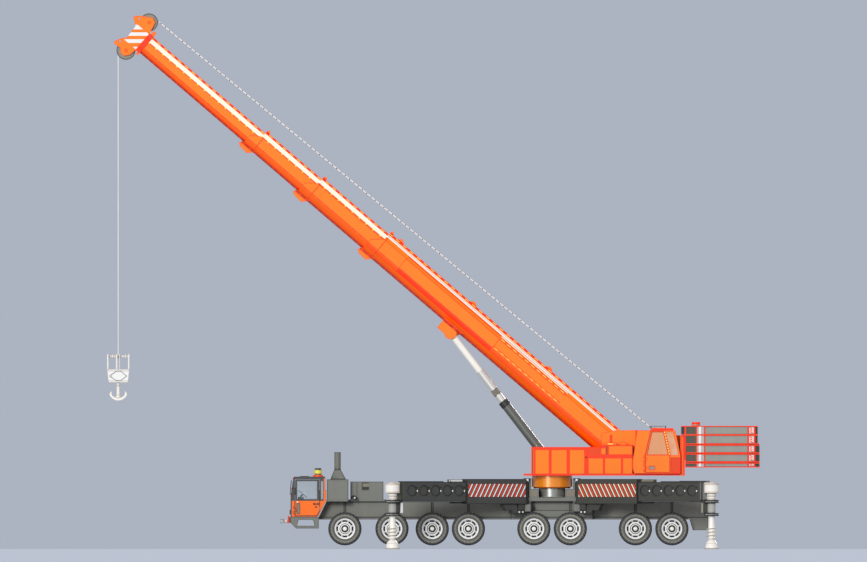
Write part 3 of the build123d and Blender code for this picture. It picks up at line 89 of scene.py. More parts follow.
colours = {
    "orange": tint(255, 126, 2),
    "deepOrange": tint(255, 96, 0),
    "edgeRed": tint(255, 55, 0),
    # dark red used as painted shade
    "paintedShadeRed": tint(238, 66, 0),
    "olive": tint(121, 122, 114),
    "darkOlive": tint(68, 68, 62),
    "charcoal": tint(72, 72, 70),
    "lineGrey": tint(66, 66, 64),
    "offWhite": tint(244, 240, 230),
    "white": tint(238, 238, 235),
    "cream": tint(255, 250, 226),
    "lineBeige": tint(190, 178, 164),
    "cabOrange": tint(255, 126, 16),
    "brown": tint(150, 62, 10),
    "yellow": tint(255, 226, 90),
    "rearCream": tint(236, 226, 196),
    "panelGrey": tint(82, 82, 70),
    "shade": tint(50, 52, 46),
    "recess": tint(136, 128, 112),
    "rimGrey": tint(150, 146, 132),
    "lineDark": tint(48, 48, 46),
    "lightSlab": tint(176, 184, 180),
    "driverOrange": tint(255, 112, 6),
    # lighter orange than the house paint, painted light on the turntable skirt
    "litSkirtOrange": tint(255, 150, 30),
    "slab": tint(150, 150, 142),
    "black": tint(22, 22, 22),
    "tyre": tint(66, 67, 66),
    "sidewall": tint(96, 97, 92),
    "steel": tint(176, 176, 168),
    "amber": tint(238, 226, 84),
    "peach": tint(255, 184, 132),
    "skyGrey": tint(170, 196, 200),
}


# ---- material building
def newTree(name):
    material = bpy.data.materials.new(name)
    material.use_nodes = True
    return material, material.node_tree, material.node_tree.nodes["Principled BSDF"]


def plug(tree, socket, value):
    if isinstance(value, bpy.types.NodeSocket):
        tree.links.new(value, socket)
    else:
        socket.default_value = value


def setInputs(node, values):
    for name, value in values.items():
        node.inputs[name].default_value = value


def sums(tree, operation, *values):
    node = tree.nodes.new("ShaderNodeMath")
    node.operation = operation
    for socket, value in zip(node.inputs, values):
        plug(tree, socket, value)
    return node.outputs[0]


def blendColours(tree, factor, first, second):
    node = tree.nodes.new("ShaderNodeMix")
    node.data_type = "RGBA"
    plug(tree, node.inputs[0], factor)
    plug(tree, node.inputs[6], first)
    plug(tree, node.inputs[7], second)
    return node.outputs[2]


def partPlace(tree):
    return tree.nodes.new("ShaderNodeTexCoord").outputs["Object"]


def distanceAlong(tree, place, axis, origin=(0, 0, 0)):
    # how far a point lies along an axis from an origin
    node = tree.nodes.new("ShaderNodeVectorMath")
    node.operation = "DOT_PRODUCT"
    tree.links.new(place, node.inputs[0])
    node.inputs[1].default_value = axis
    start = Vector(axis).dot(Vector(origin))
    return sums(tree, "SUBTRACT", node.outputs["Value"], start)


def distanceAround(tree, place, centre):
    # how far a point lies from an upright line
    across = [distanceAlong(tree, place, axis, (centre[0], centre[1], 0)) for axis in ((1, 0, 0), (0, 1, 0))]
    squares = [sums(tree, "MULTIPLY", value, value) for value in across]
    return sums(tree, "SQRT", sums(tree, "ADD", squares[0], squares[1]))


def zoneMask(tree, place, limits):
    # 1 where a point is inside every band of the list
    mask = None
    for band in limits:
        if "round" in band:
            value = distanceAround(tree, place, band["round"])
        else:
            value = distanceAlong(tree, place, band["axis"], band.get("origin", (0, 0, 0)))
        if band.get("bothSides"):
            value = sums(tree, "ABSOLUTE", value)
        if "repeat" in band:
            value = sums(tree, "FLOORED_MODULO", value, band["repeat"])
        inside = sums(tree, "MULTIPLY", sums(tree, "GREATER_THAN", value, band["low"]),
                      sums(tree, "LESS_THAN", value, band["high"]))
        mask = inside if mask is None else sums(tree, "MULTIPLY", mask, inside)
    return mask


def noise(tree, place, scale, detail=3.0, stretch=(1, 1, 1)):
    mapping = tree.nodes.new("ShaderNodeMapping")
    setInputs(mapping, {"Scale": stretch})
    tree.links.new(place, mapping.inputs["Vector"])
    node = tree.nodes.new("ShaderNodeTexNoise")
    setInputs(node, {"Scale": scale, "Detail": detail})
    tree.links.new(mapping.outputs[0], node.inputs["Vector"])
    return node.outputs["Fac"]


def spread(tree, value, fromLow, fromHigh, toLow, toHigh):
    node = tree.nodes.new("ShaderNodeMapRange")
    for socket, given in zip(node.inputs, (value, fromLow, fromHigh, toLow, toHigh)):
        plug(tree, socket, given)
    return node.outputs[0]


edgePlan = dict(samples=6, flat=0.997, edge=0.985)       # flat, edge: how far the two normals agree


def edgeMask(tree, width):
    # 1 along the edges and seams of a piece, where its rounded normal leaves the flat one
    rounded = tree.nodes.new("ShaderNodeBevel")
    rounded.samples = edgePlan["samples"]
    setInputs(rounded, {"Radius": width})
    flat = tree.nodes.new("ShaderNodeNewGeometry")
    node = tree.nodes.new("ShaderNodeVectorMath")
    node.operation = "DOT_PRODUCT"
    tree.links.new(rounded.outputs[0], node.inputs[0])
    tree.links.new(flat.outputs["Normal"], node.inputs[1])
    return spread(tree, node.outputs["Value"], edgePlan["flat"], edgePlan["edge"], 0.0, 1.0)


finishPlan = {
    "gloss": dict(rough=0.34, coat=0.10, metal=0.0, grain=0.015, mottle=0.04, shine=0.3),
    "satin": dict(rough=0.48, coat=0.0, metal=0.0, grain=0.03, mottle=0.06, shine=0.3),
    "polish": dict(rough=0.26, coat=0.2, metal=0.6, grain=0.008, mottle=0.03),
    "lacquer": dict(rough=0.20, coat=0.8, metal=0.15, grain=0.004, mottle=0.03),
    "flat": dict(rough=0.68, coat=0.0, metal=0.0, grain=0.05, mottle=0.09),
    "rubber": dict(rough=0.72, coat=0.0, metal=0.0, grain=0.25, mottle=0.12),
    "metal": dict(rough=0.30, coat=0.0, metal=0.85, grain=0.02, mottle=0.06),
}


def coated(name, colour, edge=None, edgeWidth=0.03, finish="satin", zones=(), pane=None):
    # paint with slight patchiness, orange peel and dust, and a line of its own colour along every edge
    plan = finishPlan[finish]
    material, tree, shader = newTree(name)
    place = partPlace(tree)
    base = colours[colour]
    line = colours[edge] if edge else None
    for zone in zones:
        mask = zoneMask(tree, place, zone["limits"])
        base = blendColours(tree, mask, base, colours[zone["colour"]])
        if line is not None:
            line = blendColours(tree, mask, line, colours[zone.get("edge", zone["colour"])])
    if line is not None:
        base = blendColours(tree, edgeMask(tree, edgeWidth), base, line)
    patches = spread(tree, noise(tree, place, 0.7, 4.0), 0.3, 0.7, 1 - plan["mottle"], 1.0)
    streaks = spread(tree, noise(tree, place, 5.0, 2.0, (1, 1, 0.12)), 0.35, 0.75, 1.0, 1 - plan["mottle"])
    darker = sums(tree, "MULTIPLY", patches, streaks)
    shaded = tree.nodes.new("ShaderNodeMix")
    shaded.data_type = "RGBA"
    shaded.blend_type = "MULTIPLY"
    shaded.inputs[0].default_value = 1.0
    plug(tree, shaded.inputs[6], base)
    tone = tree.nodes.new("ShaderNodeCombineColor")
    for socket in tone.inputs:
        tree.links.new(darker, socket)
    tree.links.new(tone.outputs[0], shaded.inputs[7])
    tree.links.new(shaded.outputs[2], shader.inputs["Base Color"])
    fine = noise(tree, place, 90.0, 2.0)
    tree.links.new(spread(tree, fine, 0.3, 0.7, plan["rough"] - 0.05, plan["rough"] + 0.07),
                   shader.inputs["Roughness"])
    bump = tree.nodes.new("ShaderNodeBump")
    setInputs(bump, {"Strength": plan["grain"] * 4, "Distance": 0.004})
    tree.links.new(fine, bump.inputs["Height"])
    tree.links.new(bump.outputs[0], shader.inputs["Normal"])
    if pane:
        # the door's own pane, clear in its frame
        clear = zoneMask(tree, place, pane["limits"])
        tree.links.new(spread(tree, clear, 0, 1, 1.0, pane["alpha"]), shader.inputs["Alpha"])
    setInputs(shader, {"Metallic": plan["metal"], "Specular IOR Level": plan.get("shine", 0.5)})
    setInputs(shader, {"Coat Weight": plan["coat"], "Coat Roughness": 0.2})
    return material


def clearGlass(name, colour, alpha):
    # tinted pane with a faint film of dust
    material, tree, shader = newTree(name)
    place = partPlace(tree)
    dust = spread(tree, noise(tree, place, 3.0, 4.0), 0.35, 0.8, 0.0, 0.5)
    tree.links.new(blendColours(tree, dust, colours[colour], colours["white"]), shader.inputs["Base Color"])
    tree.links.new(spread(tree, dust, 0, 1, alpha, alpha + 0.1), shader.inputs["Alpha"])
    setInputs(shader, {"Roughness": 0.06, "IOR": 1.45})
    return material


# ---- mesh building
def linked(name, data):
    piece = bpy.data.objects.new(name, data)
    bpy.context.scene.collection.objects.link(piece)
    return piece


def polar(radius, turn, *height):
    return (radius * math.cos(turn), radius * math.sin(turn), *height)


def acrossSpan(turn, near, far):
    # limits across the crane on one side, lower one first
    return tuple(sorted((turn * near, turn * far)))


def facing(turn):
    # local Z points out to the left for 1 and to the right for -1
    return Vector((0, turn, 0)).to_track_quat("Z", "Y").to_matrix().to_4x4()


def addFaces(mesh, points, faces, slot):
    made = [mesh.verts.new(p) for p in points]
    for face in faces:
        mesh.faces.new([made[i] for i in face]).material_index = slot


def addBox(mesh, low, high, slot=0, placed=None, bevel=0.0):
    # block between two corners, with its edges cut back a little
    made = bmesh.ops.create_cube(mesh, size=1.0)["verts"]
    size = [high[i] - low[i] for i in range(3)]
    centre = [(high[i] + low[i]) / 2 for i in range(3)]
    for vert in made:
        vert.co = Vector([vert.co[i] * size[i] + centre[i] for i in range(3)])
    faces = {f for v in made for f in v.link_faces}
    for face in faces:
        face.material_index = slot
    if bevel:
        edges = list({e for v in made for e in v.link_edges})
        cut = bmesh.ops.bevel(mesh, geom=edges, offset=bevel, segments=1, affect="EDGES", profile=0.5,
                              material=slot)
        made = list({v for f in cut["faces"] for v in f.verts} | {v for v in made if v.is_valid})
    if placed is not None:
        bmesh.ops.transform(mesh, matrix=placed, verts=[v for v in made if v.is_valid])


def addLathe(mesh, profile, placed, segments=32):
    # profile rows are (height along the axis, radius, slot of the band that follows)
    rings = []
    for height, radius, _ in profile:
        if radius < 1e-6:
            rings.append([mesh.verts.new(placed @ Vector((0, 0, height)))])
            continue
        turns = [2 * math.pi * k / segments for k in range(segments)]
        rings.append([mesh.verts.new(placed @ Vector(polar(radius, turn, height))) for turn in turns])
    for lower, upper, row in zip(rings, rings[1:], profile):
        for k in range(segments):
            nextK = (k + 1) % segments
            corners = [lower[k % len(lower)], lower[nextK % len(lower)], upper[nextK % len(upper)],
                       upper[k % len(upper)]]
            corners = list(dict.fromkeys(corners))
            if len(corners) > 2:
                mesh.faces.new(corners).material_index = row[2]


def addPrism(mesh, outline, depth, placed, slot=0):
    # flat outline in local XY, drawn out along local Z
    bottom = [mesh.verts.new(placed @ Vector((x, y, depth[0]))) for x, y in outline]
    top = [mesh.verts.new(placed @ Vector((x, y, depth[1]))) for x, y in outline]
    count = len(outline)
    mesh.faces.new(list(reversed(bottom))).material_index = slot
    mesh.faces.new(top).material_index = slot
    for k in range(count):
        nextK = (k + 1) % count
        mesh.faces.new([bottom[k], bottom[nextK], top[nextK], top[k]]).material_index = slot


def addTube(mesh, path, radius, sides=8, slot=0):
    # round bar along a path of points, closed at both ends
    rings = []
    for k, point in enumerate(path):
        ahead = (path[min(k + 1, len(path) - 1)] - path[max(k - 1, 0)]).normalized()
        guide = Vector((0, 1, 0)) if abs(ahead.y) < 0.9 else Vector((0, 0, 1))
        left = ahead.cross(guide).normalized()
        up = left.cross(ahead)
        ring = []
        for i in range(sides):
            x, y = polar(radius, 2 * math.pi * i / sides)
            ring.append(mesh.verts.new(point + left * x + up * y))
        rings.append(ring)
    for lower, upper in zip(rings, rings[1:]):
        for i in range(sides):
            nextI = (i + 1) % sides
            mesh.faces.new([lower[i], lower[nextI], upper[nextI], upper[i]]).material_index = slot
    mesh.faces.new(list(reversed(rings[0]))).material_index = slot
    mesh.faces.new(rings[-1]).material_index = slot


def axes(origin, xAxis, yAxis):
    # placement whose local X and Y point where they are told
    xAxis, yAxis = Vector(xAxis).normalized(), Vector(yAxis).normalized()
    zAxis = xAxis.cross(yAxis)
    turned = Matrix((xAxis, yAxis, zAxis)).transposed().to_4x4()
    return Matrix.Translation(origin) @ turned


sideView = axes((0, 0, 0), (1, 0, 0), (0, 0, 1))         # local X forward, local Y up, local Z to the right


def meshData(name, mesh, materials, sharpAngle=35):
    bmesh.ops.recalc_face_normals(mesh, faces=mesh.faces)
    data = bpy.data.meshes.new(name)
    mesh.to_mesh(data)
    mesh.free()
    for material in materials:
        data.materials.append(material)
    data.polygons.foreach_set("use_smooth", [True] * len(data.polygons))
    data.set_sharp_from_angle(angle=math.radians(sharpAngle))
    return data


def placePiece(name, data, body, placed=None):
    piece = linked(name, data)
    if placed is not None:
        piece.matrix_world = placed
    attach(piece, body)
    return piece


# ---- camera, light and floor
# ahead is counted forward from the slewing axis
cameraPlan = dict(ahead=5.3325, y=120.0, z=12.06, view=39.015, clip=400.0)


def makeCamera(plan):
    data = bpy.data.cameras.new("sideCamera")
    data.type = "ORTHO"
    data.ortho_scale = plan["view"]
    data.clip_end = plan["clip"]
    camera = linked("sideCamera", data)
    camera.location = (slewX + plan["ahead"], plan["y"], plan["z"])
    camera.rotation_euler = (math.radians(90), 0, math.radians(180))
    bpy.context.scene.camera = camera


lightPlan = dict(
    size=16.0, sky=0.62, backdrop=(172, 179, 193),
    suns=(                      # name, energy, heading
        ("softSun", 1.75, (-0.30, -0.92, -0.24)), ("lowGlint", 0.25, (-0.42, -0.90, -0.02)),
        ("farFill", 0.9, (0.45, 0.80, -0.45)),
    ),
)


def makeLight(plan):
    for name, energy, heading in plan["suns"]:
        sun = bpy.data.lights.new(name, "SUN")
        sun.energy = energy
        sun.angle = math.radians(plan["size"])
        linked(name, sun).rotation_euler = Vector(heading).to_track_quat("-Z", "Y").to_euler()
    world = bpy.data.worlds.new("studio")
    bpy.context.scene.world = world
    world.use_nodes = True
    tree = world.node_tree
    ambient = tree.nodes["Background"]
    setInputs(ambient, {"Color": (1, 1, 1, 1), "Strength": plan["sky"]})
    seen = tree.nodes.new("ShaderNodeBackground")
    setInputs(seen, {"Color": tint(*plan["backdrop"])})
    rays = tree.nodes.new("ShaderNodeLightPath")
    direct = sums(tree, "MAXIMUM", rays.outputs["Is Camera Ray"], rays.outputs["Is Transmission Ray"])
    direct = sums(tree, "MAXIMUM", direct, rays.outputs["Is Glossy Ray"])
    chosen = tree.nodes.new("ShaderNodeMixShader")
    tree.links.new(direct, chosen.inputs[0])
    tree.links.new(ambient.outputs[0], chosen.inputs[1])
    tree.links.new(seen.outputs[0], chosen.inputs[2])
    tree.links.new(chosen.outputs[0], tree.nodes["World Output"].inputs[0])
    bpy.context.scene.view_settings.view_transform = "Standard"


floorPlan = dict(reach=80.0, depth=0.8, tone=(172, 179, 193), patches=(166, 173, 187), scale=0.15, share=0.25)


def makeFloor(plan):
    mesh = bmesh.new()
    reach = plan["reach"]
    addBox(mesh, (-reach, -reach, -plan["depth"]), (reach, reach, 0.0), 0)
    material, tree, shader = newTree("paleFloor")
    place = partPlace(tree)
    shade = spread(tree, noise(tree, place, plan["scale"], 3.0), 0.3, 0.7, 0.0, plan["share"])
    base = blendColours(tree, shade, tint(*plan["tone"]), tint(*plan["patches"]))
    tree.links.new(base, shader.inputs["Base Color"])
    setInputs(shader, {"Roughness": 0.9})
    data = bpy.data.meshes.new("floor")
    mesh.to_mesh(data)
    mesh.free()
    data.materials.append(material)
    floor = linked("floor", data)


makeCamera(cameraPlan)
makeLight(lightPlan)
makeFloor(floorPlan)
print("camera, light and floor ready")


# ---- paint on the frame's own nodes
def patch(colour, x=None, y=None, z=None, edge=None, extra=(), mirrored=False):
    # painted area between limits along, across and up, counted from the slewing axis
    limits = list(extra)
    if x:
        lengthwise = dict(axis=(1, 0, 0), origin=(slewX, 0, 0), bothSides=mirrored)
        limits.append(dict(lengthwise, low=x[0], high=x[1]))
    if y:
        limits.append(dict(axis=(0, 1, 0), low=y[0], high=y[1], bothSides=True))
    if z:
        limits.append(dict(axis=(0, 0, 1), low=z[0], high=z[1]))
    return dict(colour=colour, edge=edge or colour, limits=limits)


def boomStripe(colour, low, high, span=None, dash=None):
    # band along the boom; dash is (pitch, length)
    limits = [dict(axis=tuple(boomUp), origin=tuple(boomFoot), low=low, high=high)]
    lengthwise = dict(axis=tuple(boomAlong), origin=tuple(boomFoot))
    if span:
        limits.append(dict(lengthwise, low=span[0], high=span[1]))
    if dash:
        limits.append(dict(lengthwise, low=0.0, high=dash[1], repeat=dash[0]))
    return dict(colour=colour, limits=limits)


baseSpans = dict(foot=(3.35, 7.27), panel=(7.27, 12.8))
headPlan = dict(
    along=(27.94, 28.19, 29.6), plate=(-0.46, 0.44),      # along: collar, plate, tip
    bands=((22.49, 22.60), (22.775, 22.94), (23.095, 23.25), (23.385, 23.59)),
)


def boomZones(section):
    # painted bands along one section: colour, from, to above its axis, span along it, dashes
    plan = boomPlan[section]
    top = plan["height"] / 2
    low = plan["width"] / 2 - top
    start, collar, tip = headPlan["along"]
    span = (0.0, start) if section == "boom_section_4" else None
    rows = [
        # deeper orange on the rounded belly is painted shade
        ("deepOrange", -top + 0.10, low, span),
        ("edgeRed", -top - 0.02, -top + 0.12, span),
        ("brown", -top + 0.02, -top + 0.065, span, (0.34, 0.25)),
        ("edgeRed", low - 0.035, low, span),
        ("deepOrange", low - 0.05, low + 0.015, span, (0.41, 0.09)),
        ("edgeRed", top - 0.095, top + 0.02, span),
        ("yellow", top - 0.06, top - 0.03, span, (0.41, 0.20)),
    ]
    if section == "boom_base":
        foot, panel = baseSpans["foot"], baseSpans["panel"]
        rows += [
            # white and cream bands on the upper bevel are a painted highlight
            ("white", top - 0.235, top - 0.165),
            ("cream", top - 0.145, top - 0.115),
            ("cream", top - 0.30, top - 0.265, foot),
            ("edgeRed", top - 0.35, top - 0.315, foot),
            ("yellow", top - 0.40, top - 0.37, foot, (0.35, 0.2)),
            ("edgeRed", top - 0.45, top - 0.42, foot),
            ("edgeRed", -0.13, -0.10, foot),
            ("yellow", -0.17, -0.145, foot, (0.35, 0.17)),
            ("edgeRed", low - 0.12, low - 0.09),
            ("edgeRed", low - 0.20, low - 0.17),
            ("edgeRed", top - 0.30, top - 0.26, panel),
            ("edgeRed", low - 0.20, low, panel),
        ]
    else:
        rows += [
            # cream band on the upper bevel is a painted highlight
            ("cream", top - 0.29, top - 0.095, span),
            ("edgeRed", top - 0.33, top - 0.29, span),
            ("yellow", top - 0.34, top - 0.28, span, (0.41, 0.07)),
        ]
    if section != "boom_section_4":
        return [boomStripe(*row) for row in rows]
    # collar and upright bands of the head
    rows.append(("edgeRed", -top - 0.02, top + 0.02, (start, collar)))
    sides = boomStripe("white", *headPlan["plate"], (collar, tip))["limits"]
    bands = [patch("white", z=band, extra=sides) for band in headPlan["bands"]]
    return [boomStripe(*row) for row in rows] + bands


driverCabPlan = dict(
    waist=2.169, rearPost=(10.064, 10.272), beaconAlong=(10.27, 10.80),
    beacon=(3.258, 3.334, 3.38, 3.564, 3.65),
)


def driverCabZones(plan):
    waist = plan["waist"]
    low, skirt, lens, cap, tip = plan["beacon"]
    stand = plan["beaconAlong"]
    return [
        patch("driverOrange", x=(10.0, 11.709), z=(0.0, waist), edge="lineGrey"),
        patch("driverOrange", x=plan["rearPost"], y=(1.29, 1.6), z=(waist - 0.02, 3.18), edge="lineGrey"),
        patch("edgeRed", x=stand, z=(low, skirt)),
        patch("deepOrange", x=stand, z=(low + 0.02, skirt - 0.015), edge="edgeRed"),
        patch("rimGrey", x=stand, z=(skirt, lens), edge="charcoal"),
        patch("amber", x=stand, z=(lens, cap), edge="charcoal"),
        patch("charcoal", x=stand, z=(cap, tip)),
        patch("recess", x=(11.355, 11.475), z=(1.58, 2.06), y=(1.315, 1.335), edge="lineGrey"),
    ]


houseZones = [
    patch("edgeRed", y=(1.285, 1.306)),
    # dark red block on the side box is painted shade
    patch("paintedShadeRed", x=(-2.188, -1.67), z=(4.216, 4.512), y=(1.29, 1.306)),
    # brown strip by the front edge is painted shade
    patch("brown", x=(0.845, 0.89), z=(3.40, 4.46)),
    patch("brown", x=(-2.495, -2.44), z=(4.24, 4.64), y=(1.29, 1.32)),
    patch("orange", x=(-6.0, -5.76), edge="edgeRed"),
    patch("edgeRed", x=(-5.86, -5.815)),
    patch("edgeRed", x=(-5.965, -5.90)),
    patch("edgeRed", x=(-2.69, -2.61), z=(4.76, 5.13)),
    # yellow on the base plate is a painted highlight
    patch("yellow", x=(-2.74, -2.52), z=(4.70, 4.76), edge="edgeRed"),
]
operatorCabZones = [
    patch("peach", x=(-5.70, -3.78), y=(0.69, 1.44), z=(3.40, 5.29)),
    patch("peach", y=(0.695, 0.715), z=(4.10, 5.30)),
    # dark red block low on the cab is painted shade
    patch("paintedShadeRed", x=(-5.775, -5.345), z=(3.375, 4.11), y=(1.42, 1.51), edge="edgeRed"),
    patch("edgeRed", z=(5.325, 5.45)),
    patch("edgeRed", z=(3.30, 3.40)),
    patch("shade", y=(0.86, 1.31), x=(-5.13, -4.01), z=(3.4, 4.65)),
]
driverWindow = patch("skyGrey", x=(10.55, 11.50), y=(1.314, 1.326), z=(2.20, 3.09), edge="lineGrey")
driverDoorPane = dict(limits=driverWindow["limits"], alpha=0.10)
operatorDoorPane = dict(limits=patch("peach", y=(1.464, 1.476), z=(4.23, 5.27))["limits"], alpha=0.60)
slabGaps = ((3.60, 3.708), (3.843, 3.947), (4.248, 4.352), (4.649, 4.752), (5.099, 5.171), (5.499, 5.60))
slabRims = ((-6.03, -5.96), (-6.53, -6.48), (-6.88, -6.83), (-8.87, -8.80), (-9.15, -9.09))
counterweightZones = [
    patch("panelGrey", x=(-6.48, -6.03), y=(1.3, 1.4815)),
    patch("shade", x=(-5.96, -5.79), y=(1.3, 1.49)),
    patch("shade", x=(-9.40, -9.15), y=(1.3, 1.4815)),
    patch("lightSlab", x=(-6.83, -6.53), y=(1.3, 2.0)),
    # white strip on the post is a painted highlight
    patch("white", x=(-6.736, -6.60), y=(1.3, 2.0)),
    *[patch("edgeRed", x=band, y=(1.30, 2.0)) for band in slabRims],
    *[patch("edgeRed", z=band) for band in slabGaps],
    patch("slab", x=(-9.30, -5.85), y=(-0.1, 1.40), z=(5.56, 5.61), edge="charcoal"),
    patch("edgeRed", z=(5.612, 5.80)),                   # bollard
]
deckZones = [
    patch("lineGrey", x=(8.765, 8.79), z=(2.24, 3.04)),
    patch("recess", x=(8.235, 8.532), z=(2.80, 2.952)),
    patch("shade", x=(8.235, 8.532), z=(2.673, 2.80)),
    patch("lineGrey", x=(7.53, 7.56), z=(2.2, 3.0)),
]
chassisPlan = dict(
    posts=((9.279, 9.292), (9.342, 9.356), (1.30, 1.315), (-1.315, -1.30)),
    ribs=(-0.055, 0.02), ribWidth=0.035,
)


def chassisZones(plan):
    zones = [patch("lineGrey", x=band, z=(1.42, 2.14)) for band in plan["posts"]]
    zones += [
        patch("recess", x=(0.632, 1.033), z=(2.39, 2.67), mirrored=True, edge="lineGrey"),
        patch("lineGrey", z=(2.12, 2.145), x=(-7.2, 10.2)),
        patch("lineDark", z=(1.41, 1.45), x=(-7.2, 9.0)),
    ]
    for k in range(1, 9):
        # a pair of ribs over each axle
        axle = middleOf(f"wheel_left_{k}").x - slewX
        for shift in plan["ribs"]:
            zones.append(patch("lineDark", x=(axle + shift, axle + shift + plan["ribWidth"]), z=(1.43, 2.13)))
    zones += [patch("lineGrey", z=band, x=(-6.0, 10.2)) for band in ((1.405, 1.43), (1.30, 1.32))]
    return zones


luffFoot = Vector(joints["luff_barrel_pivot"]["pos_m"])
luffAlong = Vector(joints["luff_rod_slide"]["axis"]).normalized()
if luffAlong.z < 0:
    luffAlong = -luffAlong
luffPlan = (                    # from, to, colour, edge
    (3.19, 3.45, "charcoal", "black"), (3.45, 3.83, "offWhite", "lineGrey"), (3.83, 4.11, "recess", "black"),
    (4.11, 5.16, "offWhite", "lineBeige"),
)


def luffZones(plan):
    lengthwise = dict(axis=tuple(luffAlong), origin=tuple(luffFoot))
    return [dict(colour=colour, edge=edge, limits=[dict(lengthwise, low=low, high=high)])
            for low, high, colour, edge in plan]


blockZones = [patch("lineBeige", z=band) for band in ((7.34, 7.37), (8.0, 8.03), (7.55, 7.58))]
armZonePlan = (                 # from, to, radius, colour, edge
    (1.48, 1.526, 0.34, "charcoal", "black"), (1.526, 1.58, 0.305, "white", "charcoal"),
    (1.58, 1.612, 0.34, "charcoal", "black"), (1.612, 2.072, 0.183, "steel", "charcoal"),
    (2.072, 2.109, 0.34, "charcoal", "black"), (2.109, 2.16, 0.305, "white", "charcoal"),
    (2.16, 2.205, 0.34, "charcoal", "black"), (2.205, 2.25, 0.195, "white", "lineBeige"),
    (2.25, 2.515, 0.21, "offWhite", "lineBeige"), (2.515, 3.0, 0.345, "offWhite", "lineBeige"),
)


def armZones(end, side, plan):
    jack = middleOf(f"outrigger_jack_{end}_{side}")
    block, tip = ("white", "panelGrey") if end == "front" else ("recess", "olive")
    zones = [
        patch(block, x=(4.037, 4.644), z=(3.02, 3.14), mirrored=True, edge="charcoal"),
        patch(tip, x=(6.66, 6.98), z=(2.22, 3.02), mirrored=True, edge="charcoal"),
    ]
    for low, high, radius, colour, edge in plan:
        limits = [
            dict(round=(jack.x, jack.y), low=0.0, high=radius),
            dict(axis=(0, 0, 1), low=low, high=high),
        ]
        zones.append(dict(colour=colour, edge=edge, limits=limits))
    return zones


bumperZones = [
    patch("edgeRed", x=(11.82, 11.90), z=(1.15, 1.51)),
    patch("offWhite", x=(11.90, 12.3), edge="lineGrey"),
]
operatorDoorZones = [
    patch("peach", y=(1.464, 1.476), z=(4.2, 5.3), edge="edgeRed"),
    patch("rimGrey", x=(-4.638, -4.365), z=(3.562, 3.735), y=(1.46, 1.49), edge="edgeRed"),
]
driverZones = driverCabZones(driverCabPlan)
nodePaint = {                   # colour, edge line, its width, finish, zones, pane
    "chassis_frame": ("olive", "lineGrey", 0.055, "satin", chassisZones(chassisPlan)),
    "carrier_deck": ("olive", "lineGrey", 0.07, "satin", deckZones),
    "engine": ("charcoal", "black", 0.03, "flat"),
    "exhaust_stack": ("olive", "lineGrey", 0.085),
    "axles": ("charcoal", "black", 0.03, "flat"),
    "slewing_ring": ("steel", "lineGrey", 0.03, "gloss"),
    "front_bumper": ("olive", "lineGrey", 0.05, "satin", bumperZones),
    "driver_cab": ("charcoal", "lineGrey", 0.04, "gloss", driverZones),
    "superstructure_frame": ("orange", "edgeRed", 0.035, "gloss", houseZones),
    "operator_cab": ("cabOrange", "edgeRed", 0.05, "gloss", operatorCabZones),
    "operator_door": ("cabOrange", "edgeRed", 0.045, "gloss", operatorDoorZones, operatorDoorPane),
    "winch_drum": ("steel", "lineGrey", 0.02, "metal"),
    "counterweight": ("slab", "charcoal", 0.035, "satin", counterweightZones),
    "luff_barrels": ("olive", "charcoal", 0.04, "polish", luffZones(luffPlan)),
    "luff_rods": ("offWhite", "lineBeige", 0.04, "gloss"),
    "hook_block": ("white", "lineBeige", 0.045, "gloss", blockZones),
    "hook": ("offWhite", "lineBeige", 0.04, "gloss"),
}
for section in boomPlan:
    nodePaint[section] = ("orange", "edgeRed", 0.05, "gloss", boomZones(section))
for end, side in armCorners:
    colour = "charcoal" if end == "front" else "darkOlive"
    zones = armZones(end, side, armZonePlan)
    nodePaint[f"outrigger_arm_{end}_{side}"] = (colour, "lineDark", 0.07, "satin", zones)
nodeFinishes = {name: coated(name + "Paint", *row) for name, row in nodePaint.items()}
sharedFinishes = {              # start of the nodes' names
    "driver_door": coated("doorPaint", "charcoal", "lineGrey", 0.04, "gloss", driverZones + [driverWindow],
                          driverDoorPane),
    "knuckle": coated("knuckleSteel", "charcoal", "black", 0.02, "flat"),
    "head_sheaves": coated("sheaveSteel", "rimGrey", "lineGrey", 0.05, "satin"),
    "driver_cab_glass": clearGlass("cabPane", "skyGrey", 0.22),
    "operator_cab_glass": clearGlass("warmPane", "peach", 0.60),
}
for nodeName, node in cadNodes.items():
    for start, material in sharedFinishes.items():
        if nodeName.startswith(start):
            nodeFinishes[nodeName] = material
    if nodeName in nodeFinishes:
        node.data.materials.clear()
        node.data.materials.append(nodeFinishes[nodeName])
print("paint on", len(nodeFinishes), "nodes")


# ---- wheels
wheelPlan = dict(
    radius=0.749, halfWidth=0.2225, tread=0.706, segments=48,
    blocks=30, blockShare=0.33, blockLead=0.4, blockShift=0.12,
    holes=8, hole=(0.308, 0.384, 0.095), bolt=(0.345, 0.019),
    nuts=12, nutCircle=0.272, nutRadius=0.016, ribs=24, rib=(0.575, 0.655, 0.012),
)


def hexagon(x, y, radius):
    corners = [polar(radius, math.pi * i / 3) for i in range(6)]
    return [(x + across, y + up) for across, up in corners]


